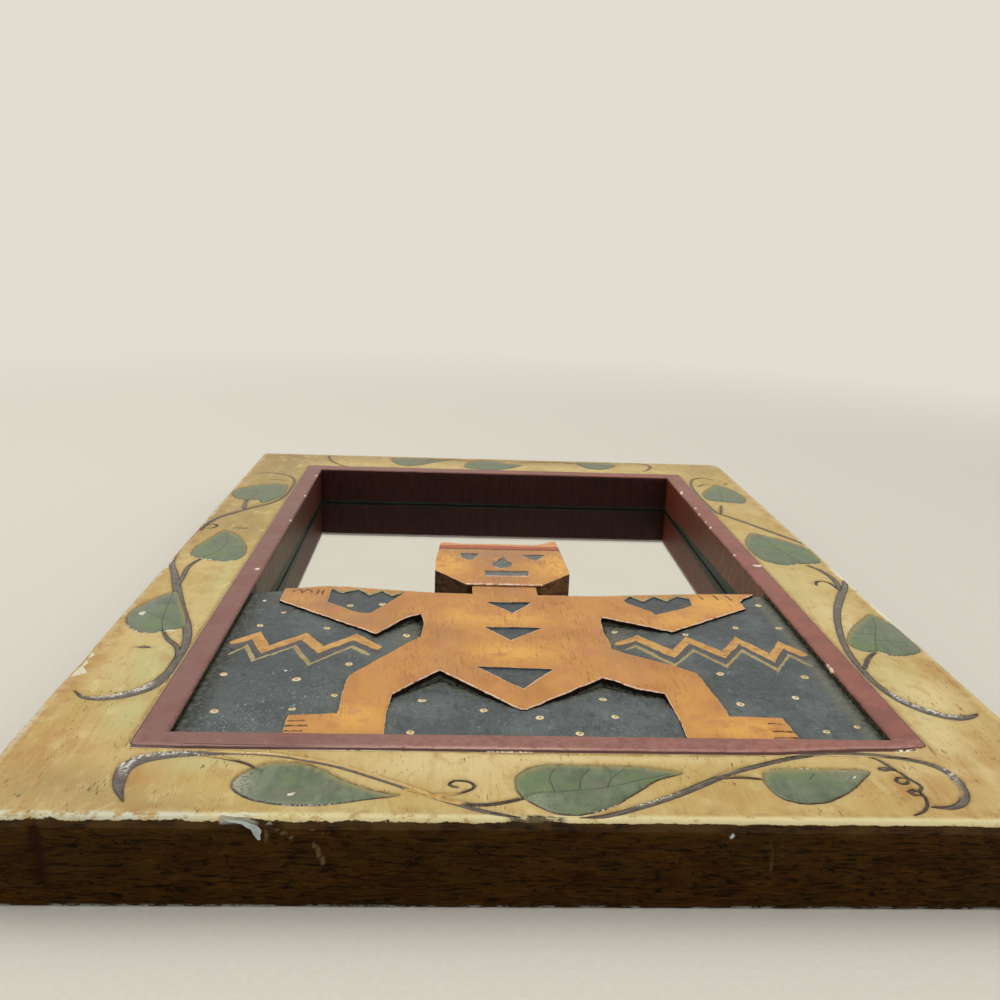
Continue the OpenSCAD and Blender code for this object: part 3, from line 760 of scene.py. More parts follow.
def wood(name, light, dark):
    """Bare wood with its grain along X."""
    p = Paint(name, light)
    grain = p.noise(1.4, stretch=(16, 1, 1), detail=6, rough=0.65, distort=0.3)
    p.lay(dark, grain.step(0.35, 0.68))
    pores = p.noise(0.5, stretch=(16, 1, 1), detail=3, shift=7)
    p.lay([c * 0.6 for c in dark], pores.step(0.62, 0.72) * 0.5)
    return p.finish(0.6, grain, 0.1)


def hardboard():
    """Pressed fibre board, mottled and slightly fluffy."""
    p = Paint("hardboard", (112, 80, 52))
    fibre = p.noise(0.9, stretch=(1, 2.5, 1), detail=6, rough=0.75, distort=1.0)
    p.lay((146, 110, 76), fibre.step(0.35, 0.68))
    p.lay((98, 68, 44), p.noise(40, detail=3, shift=5).step(0.45, 0.66) * 0.5)
    return p.finish(0.75, fibre, 0.12)


def metal(name, light, dark, rough=0.35):
    """Metal with fine scratches and a dull bloom."""
    p = Paint(name, light)
    scratch = p.noise(0.35, stretch=(14, 1, 1), detail=4, rough=0.7)
    p.lay(dark, p.noise(5, detail=4, shift=3).step(0.4, 0.66))
    return p.finish(scratch.step(0.3, 0.7, rough - 0.1, rough + 0.15), scratch, 0.02, metallic=1.0)


def plain(name, light, dark, size, rough, **others):
    """An even surface of two near colours."""
    p = Paint(name, light)
    p.lay(dark, p.noise(size, detail=3).step(0.3, 0.7))
    return p.finish(rough, **others)


def clear_glass():
    through = {"Transmission Weight": 1.0, "IOR": 1.5}
    return plain("clear_glass", (252, 253, 250), (250, 252, 249), 30, 0.0, **through)


def silvering():
    return plain("silvering", (250, 249, 243), (248, 247, 241), 60, 0.01, metallic=1.0)


def green_edge():
    return plain("green_edge", (18, 30, 26), (44, 60, 52), 3, 0.3)


def stroke_paint(name, light, dark, size=4.0, fleck=None, rough=0.46):
    """Paint laid on in short strokes of two near colours, with flecks of a third."""
    p = Paint(name, light)
    brush = p.noise(size, stretch=(1.5, 1, 1), detail=6, rough=0.7)
    p.lay(dark, brush.step(0.4, 0.62))
    if fleck:
        p.lay(fleck, p.noise(1.1, detail=5, rough=0.75, shift=8).step(0.58, 0.66) * 0.85)
    return p.finish(rough, brush, 0.14, coat=0.08, specular=0.3)


FRAME, SIDE, VINE, LINE, LEAF, CHIP, VEIN = range(7)
frame_set = [frame_paint(), side_paint(), vine_paint(), line_paint(), leaf_paint(), chip_paint(),
             stroke_paint("vein_paint", (72, 84, 62), (58, 68, 48))]


# Carved and painted ornament on the frame boards, as seen from the front, in millimetres

# Each stem is its points, with its width at each. The arch laps over onto the near strip of the liner.
ARCH = [
    (9, -241.2, 1), (18.3, -239.4, 2.2), (29.4, -234.4, 2.6), (40.6, -228.3, 2.8),
    (51.7, -221.1, 3), (61, -215, 2.6), (70.5, -210.6, 2.4), (80.8, -206.2, 2.3),
    (87.8, -203.8, 2.3), (94.9, -201.9, 2.3), (101.5, -201.2, 2.2), (107.7, -201.4, 2.2),
    (113.9, -201.9, 2.2), (119.8, -202.9, 2.2), (125.5, -204.5, 2.3), (130.7, -206.9, 2.6),
    (133.8, -210, 2.8), (135.8, -214, 3), (136, -219.4, 3.2), (134.4, -226, 3.2), (131, -231.2, 3),
    (126, -233.7, 2.4), (120, -233.4, 1),
]
STEMS = [
    # Left board
    [(-173.4, -18, 2), (-174.4, -4, 1.8), (-174.6, 20, 1.8), (-174, 43, 2), (-169, 65, 2.6),
     (-163, 76, 2.8), (-157, 85, 2.8), (-150, 93.5, 2.6), (-144.4, 101, 2.4), (-140, 112, 2.2),
     (-138, 126, 1.9), (-137.8, 142, 1.8), (-138.5, 157, 1.8), (-142, 169, 1.8), (-147.4, 175, 1.8),
     (-154, 179, 1.8), (-160.3, 180, 1.6), (-169.3, 176, 0.8)],
    [(-174.6, 4, 1.6), (-174.2, -6, 2.2), (-172.4, -18, 3), (-166.7, -34, 3.8), (-160.5, -53, 4.4),
     (-151.8, -78, 4.4), (-143.5, -100, 4.2), (-139.3, -117, 3.7), (-138.6, -133, 3.4),
     (-138.9, -147, 4), (-142, -158, 5.4), (-149, -165, 5.2), (-157, -168, 3.4), (-163, -167, 2),
     (-168, -162, 0.6)],
    [(-160, -9, 2), (-163, -22, 2.4), (-161.8, -38, 2.8), (-161, -50, 2.5)],
    [(-152.5, -104, 1.4), (-148, -113, 2.2), (-141.5, -122, 2.6), (-138.8, -133, 2)],
    [(-160.5, 108, 2), (-159.5, 97, 2.6), (-158, 86, 2.6)],
    [(-172.5, 40, 1.4), (-172, 50, 1.6), (-168, 53, 1.6), (-165.5, 48.5, 1.6), (-168.5, 43.5, 1)],
    [(-155.4, 161.7, 1), (-150, 161, 1.4), (-144.8, 159.7, 0.8)],
    [(-157, -122.4, 1.2), (-155, -122, 2.6), (-152.4, -122.2, 1.2)],
    [(-157, 46, 1), (-148, 46, 1.2)],
    # Right board
    [(176.5, 35, 2), (169, 49.5, 2.6), (161, 64, 2.8), (150, 84, 2.8), (143, 96, 2.6),
     (138.5, 105, 2.4), (137.5, 129, 1.9), (137.5, 155, 1.8), (138.5, 173, 1.8), (143, 190, 1.8),
     (147.6, 195.4, 1.8), (152.7, 197.7, 1.6), (159, 192, 0.8)],
    [(175.4, -20, 2.6), (169, -35, 3.6), (162, -48, 4.2), (152, -70, 3.6), (144, -95, 3.2),
     (139.8, -115, 3), (138.6, -133, 3), (139.2, -147, 3), (142.5, -160, 4), (149, -169, 5),
     (156.5, -173.6, 4.4), (163, -173, 3.2), (168, -170.4, 1)],
    [(162, 1, 2), (167, -8, 2.6), (168.5, -22, 3), (166.5, -36, 3)],
    [(156, -31, 1.2), (158, -25.5, 1.6), (161.5, -24.4, 1.7), (164.6, -28.5, 1.7),
     (165.5, -38, 1.5)],
    [(152, -114.5, 1.6), (146, -121.5, 2.2), (140, -132, 2)],
    [(146.6, 122, 1.6), (144, 112, 1.9), (141, 101, 1.6)],
    [(143, 171, 1), (148, 177.7, 1.4), (152, 177, 0.8)],
    [(163, 179, 1), (165.4, 180.4, 1.6), (166.4, 182.8, 0.8)],
    # Bottom board
    [(-127, -234.5, 0.6), (-131, -226, 3.6), (-132.4, -216, 5.2), (-128.5, -209.8, 5.6),
     (-120, -206.8, 4.4), (-109, -205.6, 2.8), (-97, -205.4, 2.2), (-86, -206.6, 2.2),
     (-75, -209.6, 2.4), (-64, -213.8, 2.6), (-52.8, -219.6, 2.6), (-41.7, -226, 2.4),
     (-30.6, -232.4, 2.2), (-19.4, -237.8, 2), (-9, -241, 1)],
    ARCH,
    [(-112.8, -206.5, 1), (-102.8, -208.9, 1.4), (-95, -212.2, 1.4), (-89.4, -216.7, 1)],
    [(-44, -226.4, 0.9), (-36, -229, 1.1), (-28, -228.6, 1.2), (-22.4, -225, 1.2),
     (-23.6, -221.6, 1.1), (-28.4, -221, 1.1), (-30, -223.6, 1.1), (-27.4, -224.9, 0.8)],
    [(-38, -228.8, 1.2), (-22, -234.4, 1.8), (-10, -231.8, 1.8), (-3.6, -227.6, 1.2)],
    [(56.1, -218, 1.4), (64, -217.2, 1.8), (72.7, -218.6, 1.2)],
    [(111.6, -202.6, 0.8), (114.8, -204.9, 1.2), (116.6, -208.4, 1.3), (118.4, -212, 1.2),
     (120, -216, 1.3), (122.2, -221.6, 1.3), (120.4, -224.4, 1.2), (120.5, -228, 1.2),
     (119.2, -232.4, 1.2), (116.2, -236, 1.2), (112.4, -238, 0.7)],
    [(118.4, -211.6, 1.3), (116, -211, 2.5), (114, -211.2, 2.8), (112.6, -211, 1.6)],
    [(119.4, -216.6, 1.1), (116.8, -216.4, 1.2), (115.4, -218.4, 1.3), (116.8, -220.2, 1.3),
     (118.8, -219.4, 1.2), (119.6, -217.4, 0.8)],
    [(120.8, -224.6, 1.1), (118.8, -223.9, 1.8), (117, -225, 2.1), (117.6, -226.6, 1.6),
     (120, -226.4, 0.8)],
    # Top board
    [(-125, 239, 1.6), (-124, 229.5, 2), (-117.7, 215.7, 2), (-106.8, 203.5, 1)],
    [(-50, 232, 1.4), (-40, 235.6, 1.9), (-28, 236.4, 1.9), (-18, 233, 1.2)],
    [(20, 232, 1), (36, 236, 2), (54, 236.4, 2.1), (66, 233, 1.4)],
    [(104, 239.6, 1), (113, 239.6, 1.9), (119, 235, 2.2), (119.4, 228, 2.2), (116, 220, 1.9),
     (112, 215.6, 1)],
]

# Each leaf is its outline and its veins, the first of which is the midrib
LEAVES = [
    # Left board
    ([(-160, 41), (-155, 38), (-149, 31), (-143, 18), (-139.6, 5), (-140, -6), (-144, -12),
      (-150, -12.6), (-156, -10.6), (-160, -8), (-165, -6), (-168, 2), (-167.5, 12), (-164, 26)],
     [[(-159.5, -8), (-154, 4), (-153, 20), (-158, 38)]]),
    ([(-160, -57), (-166, -65), (-171, -77), (-172.4, -88), (-169.6, -98), (-162.5, -106),
      (-156, -107.4), (-152, -104.5), (-148.4, -104), (-144.8, -99), (-146.8, -89), (-150.8, -78),
      (-155.5, -66)],
     [[(-152.5, -104.5), (-156, -92), (-157.6, -80), (-160.4, -60)], [(-156, -92), (-164, -86)]]),
    ([(-174, 127), (-168, 138), (-160, 147), (-150, 150), (-142.5, 148), (-139.8, 135),
      (-140.6, 118), (-145, 106.5), (-149.4, 101), (-153, 107), (-163, 107.5), (-170, 114)],
     [[(-160, 108), (-157, 124), (-165, 131)]]),
    # Right board
    ([(150, 60), (143, 50), (138.6, 36), (138, 22), (139.8, 9), (145.5, 1.5), (152, 0), (158, 3),
      (164, 3.4), (171, 6), (174, 16), (173.4, 30), (168, 42), (159, 52)],
     [[(160, 3), (157, 18), (154, 34), (151, 55)], [(157, 18), (165, 25)], [(156, 26), (147, 34)]]),
    ([(168, -70), (160, -78), (150.5, -90), (143.8, -103), (144, -110.5), (148, -115),
      (153, -113.6), (157.3, -118), (163.6, -118), (170.4, -114.6), (175, -108), (175.8, -97),
      (175.3, -86), (172, -77)],
     [[(153, -113.6), (157, -102), (163, -88), (167.4, -74)], [(157, -102), (168, -104)],
      [(160, -95), (151, -95)]]),
    ([(158, 178), (150, 167), (142.5, 155), (140, 144), (141.6, 134), (149, 130.6), (156, 129.4),
      (163, 128.6), (167.6, 137), (168.4, 150), (166, 165)],
     [[(150, 132), (154, 150), (157, 172)]]),
    # Bottom board
    ([(-97.6, -223), (-94.5, -216), (-88.5, -211.4), (-79, -210.6), (-70.6, -214.6), (-62, -221.5),
      (-53, -226.6), (-45, -229.6), (-56, -232.6), (-66, -235.4), (-78, -235.8), (-88, -233.6),
      (-95.4, -228.6)],
     []),
    ([(-9.4, -224), (-8.4, -217), (-2.6, -211.4), (7, -209.8), (21, -210.3), (35, -211.2),
      (46, -215), (37, -219.4), (29.4, -226.6), (20.6, -234.4), (11.4, -239.2), (3, -239.2),
      (-3.6, -234.6), (-8, -229)],
     [[(-3.6, -227.6), (6, -227), (19, -224.6), (33, -219), (42, -215.4)],
      [(3, -227.3), (2, -219), (4.6, -213)], [(11, -226), (12, -219.5), (16, -213)],
      [(20, -224), (22, -219), (27, -213.4)]]),
    ([(71.4, -219), (73.4, -213.6), (79, -211.2), (91, -211), (108.6, -211.8), (103.2, -219.6),
      (97, -225.6), (89, -231), (80.6, -232.6), (74.6, -230.2), (72, -225)],
     [[(86.6, -218.4), (88.4, -216.2), (89.6, -214.6)]]),
    # Top board
    ([(-77, 237), (-76, 225), (-71, 215.5), (-64, 212.6), (-55, 216.6), (-48, 223), (-40, 230),
      (-32, 235.8), (-46, 238.4), (-62, 239)],
     [[(-74, 228), (-60, 228), (-40, 233.6)]]),
    ([(-22, 212), (-20.6, 226), (-14, 235), (-1, 236.4), (8, 230), (21, 224.6), (14.6, 216),
      (6, 209), (-2, 206.6), (-12, 207.6)],
     [[(-20, 220), (-4, 221), (16, 223.6)]]),
    ([(63.4, 237), (65.4, 226.6), (70.6, 219), (78, 216), (86, 220.6), (92.4, 229), (89, 238),
      (76, 239.8)],
     [[(66, 231), (78, 228), (90, 228)]]),
]

# Bare white patches where the paint has come off, as outlines
CHIPS = [
    [(-174.4, -121), (-173, -124), (-173.6, -128), (-171.4, -131), (-173, -135), (-171.2, -139),
     (-172, -142), (-168.6, -147), (-171.4, -149.6), (-174.4, -150.6)],
    [(-98, -241.2), (-96, -239.8), (-93, -240.6), (-90.5, -239.4), (-87, -240.2), (-84, -241.2)],
    [(-168, -85.4), (-166.4, -84.2), (-165.2, -84.6), (-165.6, -88.6), (-167.4, -88)],
    [(-79.2, -229.8), (-76.8, -229), (-77.6, -230.8), (-79, -231)],
    [(101.4, -217.8), (102.4, -217), (103, -216.2), (102.4, -216), (101.6, -216.8)],
    [(-152, -104.2), (-148, -103), (-146.4, -104.6), (-150, -105.8)],
    [(-158, -10.2), (-154, -12), (-150, -12.9), (-152, -11.6)],
    [(-148, -12.9), (-144.6, -12.4), (-142, -10), (-145, -11.6)],
]

# Tones of the glaze, as (x, y, radius along X, radius along Y, strength)
TONES = {
    "amber": [
        (-160, -208, 14, 26, 0.9), (-170, -135, 6, 40, 0.6), (-128, -224, 8, 10, 0.8),
        (118, -224, 20, 12, 0.9), (150, -205, 16, 16, 0.8), (168, -140, 6, 34, 0.7),
        (56, -230, 18, 8, 0.5), (154, -76, 8, 9, 0.6), (-172, 20, 4, 50, 0.4),
        (168, 70, 6, 40, 0.5), (150, 96, 10, 20, 0.4), (-80, -205, 20, 3, 0.2)],
    "olive": [
        (-146, -138, 12, 24, 0.9), (-143, -180, 8, 14, 0.9), (-112, -212, 12, 6, 0.8),
        (148, -145, 11, 22, 0.6), (-142, -40, 7, 36, 0.7), (143, -45, 6, 40, 0.5),
        (-60, -238, 30, 4, 0.4), (-150, 60, 14, 16, 0.4), (145, -175, 6, 12, 0.4)],
    "dusk": [
        (-155, 200, 26, 60, 0.9), (-160, 90, 16, 50, 0.45), (-60, 235, 110, 16, 0.7),
        (60, 236, 70, 10, 0.6), (158, 225, 20, 28, 0.45), (156, 150, 14, 50, 0.3),
        (-174, 60, 6, 60, 0.5)],
    "light": [
        (20, -206, 60, 4, 0.9), (150, -76, 9, 34, 1), (145, -188, 8, 16, 0.8),
        (128, -212, 30, 3, 0.5), (-36, -213, 26, 7, 0.8), (150, 110, 10, 30, 0.3),
        (156, -158, 14, 16, 0.9)],
    "shade": [
        (-150, -226, 26, 12, 0.9), (-120, -236, 22, 6, 0.6), (-150, 50, 20, 40, 1),
        (-152, 130, 16, 50, 0.7)],
    # The outer arrises' pale wear, whitest where a painted highlight runs along them
    "rubbed_and_lit": [
        (HALF_W, -15, 4, 24, 0.9), (HALF_W, -75, 4, 40, 1), (HALF_W, 60, 4, 30, 0.5),
        (-HALF_W, -20, 4, 22, 0.9), (-HALF_W, 60, 4, 40, 0.5), (-HALF_W, 150, 4, 60, 0.4),
        (-HALF_W, -190, 4, 24, 0.6)],
    "smear": [(-4, 0.4 - HALF_L, 9, 2.2, 1.2)],
    "tip": [(-95, -224, 4, 7, 1.1), (100, -216, 6, 5, 0.4), (-2, -232, 6, 5, 0.4)],
    "torn": [(-90, -HALF_L, 6.5, 1.3, 1.2)],
    "grey": [
        (-167, -84, 6, 16, 1), (-158, -60, 7, 9, 0.6), (80, -226, 12, 8, 0.4),
        (170, -96, 6, 14, 0.5)],
}
# Painted white and golden highlights where the stems shine, in the same form
SHINES = {
    "glint": [
        (-155, -164, 9, 5, 1.2), (-145, -158, 5, 6, 1.2), (-122, -206.5, 10, 2.5, 1.1),
        (-132, -214, 3, 8, 1), (148, -168, 8, 5, 1.2), (143, -158, 3, 8, 1.2),
        (34, -230.5, 26, 5, 0.7), (-94, -205.6, 12, 2, 0.5), (136, -214, 3, 7, 1.1),
        (-171, -20, 4, 12, 0.5), (152, -172, 10, 3, 0.8), (-164, -44, 4, 10, 0.4)],
    # Painted highlights on the upper and lower edges of the leaves
    "crown": [
        (82, -211.4, 20, 3, 0.8), (-80, -211, 10, 2, 0.3), (172, -92, 4, 14, 0.7),
        (168, 40, 10, 10, 0.6)],
    "rim": [
        (-160, -8, 30, 5, 0.9), (-160, -102, 14, 5, 0.9), (160, 3, 22, 4, 0.9),
        (172, -100, 8, 12, 0.7), (155, -116, 14, 4, 0.6), (-70, -235, 20, 4, 0.4),
        (20, -236, 24, 5, 0.5)],
    "gilt": [
        (-94, -206, 14, 3, 1.3), (-72, -210.5, 10, 4, 1.3), (-58, -217, 10, 5, 1.3),
        (-45, -224, 10, 5, 1.3), (-32, -231, 8, 4, 0.8), (134, -222, 4, 10, 0.5),
        (60, -214, 16, 4, 0.4)],
}

# Dents along the outer arrises, as (x, y, radius, depth) in millimetres
DENTS = [
    (-90.5, -HALF_L, 7, 1.4), (-150.5, -HALF_L, 1.6, 1.1), (-60, -HALF_L, 5, 0.5),
    (-2, -HALF_L, 8, 1.5), (-118, -HALF_L, 4, 0.5), (76, -HALF_L, 3, 0.5), (118, -HALF_L, 4, 0.4),
    (-HALF_W, -136, 14, 0.7), (-HALF_W, 60, 9, 0.5), (HALF_W, HALF_L, 6, 2.0), (HALF_W, 90, 8, 0.4),
    (-HALF_W, -210, 9, 0.5), (40, -HALF_L, 4, 0.35), (150, -HALF_L, 6, 0.4), (-20, HALF_L, 9, 0.4),
]
# Cracks and scratches on the near side, as two ends in (x, z), with their half width and depth
SCRATCHES = [
    ((-150.8, 31), (-149.4, 11.5), 1.3, 0.9), ((-83, 28.8), (-75.5, 23.6), 0.6, 0.4),
    ((-74, 28.5), (-67, 25.8), 0.5, 0.35), ((-69.4, 22), (-66.8, 15.5), 0.8, 0.45),
    ((67.5, 25), (68.2, 14), 0.8, 0.3), ((54.7, 26.3), (55.4, 26), 0.7, 0.35),
    ((-94, 29.8), (-85.8, 24.6), 3.2, 0.45),
]


def mark(mask, where, value):
    """Raises a mask at some of its points."""
    mask[where] = np.maximum(mask[where], value)


class Ornament:
    """The stems, leaves and chips that touch one board, with their curves worked out."""

    def __init__(self, low, high):
        def here(outline):
            return np.all(outline.min(0) - 3 < high) and np.all(outline.max(0) + 3 > low)

        stems = [smooth(s, 1.3) for s in STEMS]
        self.stems = [(s[:, :2], s[:, 2]) for s in stems if here(s[:, :2])]
        leaves = [(hand_cut(smooth(edge, 1.2, closed=True), 0.2, 3), [smooth(v, 1.3) for v in veins])
                  for edge, veins in LEAVES]
        self.leaves = [f for f in leaves if here(f[0])]
        self.chips = [straight(c, 1.0) for c in CHIPS if here(np.array(c))]

    def regions(self):
        """Outlines of every painted area, each with the name of what it bounds."""
        made = []
        for line, widths in self.stems:
            made.append(("stem", ribbon(line, widths)))
            if widths.max() > 2.4:
                core = np.maximum(widths - 1.1, 0.25)
                made.append(("core", hand_cut(ribbon(line, core), 0.2, 2)))
        for edge, veins in self.leaves:
            made.append(("leaf", edge))
            # The blade sits a little high, so the dark outline is wider along the leaf's lower edge, as
            # painted shade
            made.append(("blade", hand_cut(grown(edge, -0.45) + (0.05, 0.25), 0.25, 1.6)))
            made += [("vein", ribbon(v, np.linspace(0.5, 0.3, len(v)))) for v in veins]
        return made + [("chip", c) for c in self.chips]

    def seeds(self):
        made = []
        for line, widths in self.stems:
            n = normals(line, False)
            made += [line] + [line + n * (widths[:, None] * f + o) * s
                              for f, o in ((0.22, 0), (0.5, 0.45), (0.5, 1.2)) for s in (-1, 1)]
        for edge, veins in self.leaves:
            made += [beside(edge, True, (0.45, 0.95, 1.8))]
            made += [beside(v, False, (0.5, 1.0)) for v in veins]
        return made

    def carve(self, points, z, masks):
        """Cuts the stems and leaves into the heights and marks their masks."""
        for line, widths in self.stems:
            near = around(points, line)
            d, t, behind = nearest(points[near], line, closed=False)
            width = np.interp(t, np.linspace(0, 1, len(widths)), widths)
            half = width / 2
            groove = np.exp(-((d - np.maximum(half - 0.3, 0)) / 0.42) ** 2)
            z[near] -= np.where(d < half + 1.2, 0.45 * groove, 0)
            z[near] -= np.where((d < half) & (width < 2.4), 0.2 * (1 - (d / half) ** 2), 0)
            mark(masks["halo"], near, 0.8 * np.exp(-np.maximum(d - half, 0) / 0.6))
            # Painted white and golden highlights along the upper side of each stem, where SHINES places
            # them
            upper = np.clip(behind / np.maximum(half, 0.1) * 1.2 + 0.5, 0, 1) * (d < half + 0.3)
            for name in ("glint", "gilt"):
                mark(masks[name], near, upper * spots(points[near], SHINES[name]))
        for edge, veins in self.leaves:
            near = around(points, edge)
            here = points[near]
            d = signed(here, edge)
            z[near] -= 0.5 * np.exp(-((d + 0.2) / 0.42) ** 2)
            z[near] -= np.where(d < 0, 0.25 * np.exp(d / 1.2), 0)
            z[near] += np.where(d < -0.5, 0.16 * (1 - np.exp((d + 0.5) / 3)), 0)
            mark(masks["halo"], near, 0.7 * np.exp(-np.maximum(d, 0) / 0.6))
            # A lighter olive along each leaf's upper edge, in part painted highlight, and painted
            # highlights on both edges where SHINES places them
            top_edge = np.clip(1 + signed(here, edge - (0, 2.2)) / 1.6, 0, 1) * (d < 0.2)
            mark(masks["north"], near, top_edge)
            mark(masks["glint"], near, top_edge * spots(here, SHINES["crown"]))
            low_edge = np.clip(1 + signed(here, edge + (0, 1.6)), 0, 1) * (d < 0.3)
            mark(masks["glint"], near, low_edge * spots(here, SHINES["rim"]))
            for line in veins:
                cut = np.exp(-(nearest(here, line, closed=False)[0] / 0.4) ** 2)
                z[near] -= np.where(d < 0, 0.18 * cut, 0)


# What an area is painted with, from the area that lies on top to the lowest
REGION_KINDS = (("chip", CHIP), ("vein", VEIN), ("blade", LEAF), ("leaf", LINE), ("core", VINE),
                ("stem", LINE))


def board_kind(found):
    """The material of a triangle, from the areas that it lies in."""
    if "vein" in found and "blade" not in found:
        found = found - {"vein"}
    for name, kind in REGION_KINDS:
        if name in found:
            return kind
    return FRAME


def outward(x, y):
    """The direction in plan in which the frame's outer edge is nearest."""
    core = Vector((max(CORNER_R - HALF_W, min(HALF_W - CORNER_R, x)),
                   max(CORNER_R - HALF_L, min(HALF_L - CORNER_R, y))))
    away = Vector((x, y)) - core
    return away.normalized() if away.length > 1e-6 else away


def wear_at(x, y):
    """How much is worn off the arris at a place on the outer edge, in millimetres."""
    worn = 0.32 + 0.35 * noise.noise(Vector((x / 9, y / 9, 2.0)))
    worn += 0.3 * noise.noise(Vector((x / 2.2, y / 2.2, 5.0)))
    worn *= 1.0 if y < 2 - HALF_L else 0.4
    for dx, dy, r, depth in DENTS:
        worn += depth * math.exp(-((x - dx) ** 2 + (y - dy) ** 2) / (r * r) * 2)
    return max(worn, 0.0)


def scratch_at(x, z):
    """Depth of the scratches on the near side at a place on it."""
    deep = 0.0
    for (x0, z0), (x1, z1), half, depth in SCRATCHES:
        a, b = Vector((x0, z0)), Vector((x1, z1))
        t = max(0.0, min(1.0, (Vector((x, z)) - a).dot(b - a) / (b - a).length_squared))
        deep = max(deep, depth * math.exp(-((Vector((x, z)) - a.lerp(b, t)).length / half) ** 2))
    return deep


def board_boundary(x0, x1, y0, y1):
    """The outline of a board's flat face, drawn in by the arris at its outer edges."""
    left, right = x0 < -OPEN_X - 1, x1 > OPEN_X + 1
    low, high = y0 < -OPEN_Y - 1, y1 > OPEN_Y + 1
    xs = (x0 + ARRIS_R * left, x1 - ARRIS_R * right)
    ys = (y0 + ARRIS_R * low, y1 - ARRIS_R * high)
    r = CORNER_R - ARRIS_R
    corners = []
    for i, j in ((0, 0), (1, 0), (1, 1), (0, 1)):
        x, y = xs[i], ys[j]
        if not ((left, right)[i] and (low, high)[j]):
            corners.append((x, y))
            continue
        sx, sy = 2 * i - 1, 2 * j - 1
        start = math.atan2(sy, sx) - math.pi / 4
        corners += [(x - sx * r + r * math.cos(start + k * math.pi / 8),
                     y - sy * r + r * math.sin(start + k * math.pi / 8)) for k in range(5)]
    return straight(corners, 1.3)


CUT_MASKS = ("halo", "glint", "gilt", "north")


def board_masks(points):
    """The masks that a board's paints take: distances, and the tones of the glaze."""
    x, y = points.T
    masks = {k: np.zeros(len(points)) for k in (*CUT_MASKS, "side")}
    masks["foot"] = np.full(len(points), FAR_OFF)
    masks["rim"] = np.minimum(HALF_W - np.abs(x), HALF_L - np.abs(y)) - ARRIS_R
    # Distance from the liner. On the near board the darker brown beside it fades out towards both ends.
    masks["lip"] = np.maximum(np.abs(x) - OPEN_X, np.abs(y) - OPEN_Y)
    masks["lip"] += np.where(y < -OPEN_Y, np.clip((np.abs(x - 20) - 40) / 20, 0, 1) * 4, 0)
    return masks | {k: spots(points, places) for k, places in TONES.items()}


def wear_side(v, layers):
    """Moves a point of the arris or the side inwards by its wear, and marks its scratches."""
    drop = FACE_Z - v.co.z
    if v.co.z < 0.01 or drop < 0.01:
        return
    way = outward(v.co.x, v.co.y)
    into = wear_at(v.co.x + way.x * ARRIS_R, v.co.y + way.y * ARRIS_R) * math.exp(-drop / 2.2) * 0.8
    into += 0.12 + 0.1 * noise.noise(Vector((v.co.x / 12, v.co.y / 12, v.co.z / 2.5)))
    nibbled = max(0.0, noise.noise(Vector((v.co.x / 5, v.co.y / 5, 9))))
    into += 0.35 * nibbled * math.exp(-v.co.z / 1.5)
    if v.co.y < 1 - HALF_L:
        cut = scratch_at(v.co.x, v.co.z)
        into += cut
        v[layers["torn"]] = max(v[layers["torn"]] * (drop < 3.5), min(cut / 0.35, 1.0))
    elif drop > 3.5:
        v[layers["torn"]] = 0.0
    v.co -= Vector((way.x, way.y, 0)) * into
    v.co.z -= wear_at(v.co.x, v.co.y) * 0.35 * math.exp(-drop)


def board_sides(bm, layers):
    """The worn arris and the sides, from the outer edges of the face down to the back."""
    def outside(v):
        rim = min(HALF_W - abs(v.co.x), HALF_L - abs(v.co.y))
        return rim < CORNER_R and outward(v.co.x, v.co.y).length > 0.5

    def joint(e):
        return all(abs(abs(v.co.x) - OPEN_X) < 0.01 for v in e.verts)

    # Each ring, as how far it lies inside the outer edge and below the face
    profile = [(0.55, 0.12), (0.2, 0.42), (0.0, ARRIS_R)]
    profile += [(0.0, ARRIS_R + (FACE_Z - 2 * ARRIS_R) * k / SIDE_LEVELS)
                for k in range(1, SIDE_LEVELS + 1)]
    profile += [(0.3, FACE_Z - BACK_ARRIS), (1.03, FACE_Z)]

    def place(v, ring):
        way = outward(v.co.x, v.co.y)
        now, drop = profile[ring]
        moved = (profile[ring - 1][0] if ring else ARRIS_R) - now
        v.co = (v.co.x + way.x * moved, v.co.y + way.y * moved, FACE_Z - drop)
        v[layers["side"]] = v[layers["rim"]] = drop
        v[layers["lip"]] = LIP_OFF
        v[layers["foot"]] = FACE_Z - drop
        for k in CUT_MASKS:
            v[layers[k]] = 0.0

    edges = [e for e in bm.edges if e.is_boundary and all(outside(v) for v in e.verts) and not joint(e)]
    _, walls = skirt(bm, edges, len(profile), place, lambda ring: FRAME if ring < 5 else SIDE)
    for v in {v for f in walls for v in f.verts}:
        wear_side(v, layers)


def board_rest(bm, layers, name):
    """The board's back, rebates and joint faces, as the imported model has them."""
    def keep(centre, normal):
        if centre.z > FACE_Z - 0.05:
            return False
        if abs(normal.z) > 0.999:
            return True
        rim = min(HALF_W - abs(centre.x), HALF_L - abs(centre.y))
        corner = abs(centre.x) > HALF_W - CORNER_R and abs(centre.y) > HALF_L - CORNER_R
        return rim > ARRIS_R + 0.02 and not corner

    # The flat joint faces end just short of the worn edges
    for v in join_into(bm, cad_faces(name, keep), SIDE):
        for k, value in (("side", FAR_OFF), ("rim", FAR_OFF), ("lip", LIP_OFF), ("foot", FAR_OFF)):
            v[layers[k]] = value
        v.co.z = min(v.co.z, FACE_Z - 0.45)
        if HALF_L - abs(v.co.y) < ARRIS_R + 0.1 and v.co.z > 0.01:
            v.co.y -= math.copysign(1.5, v.co.y)
            v.co.z = min(v.co.z, FACE_Z - 1.5)


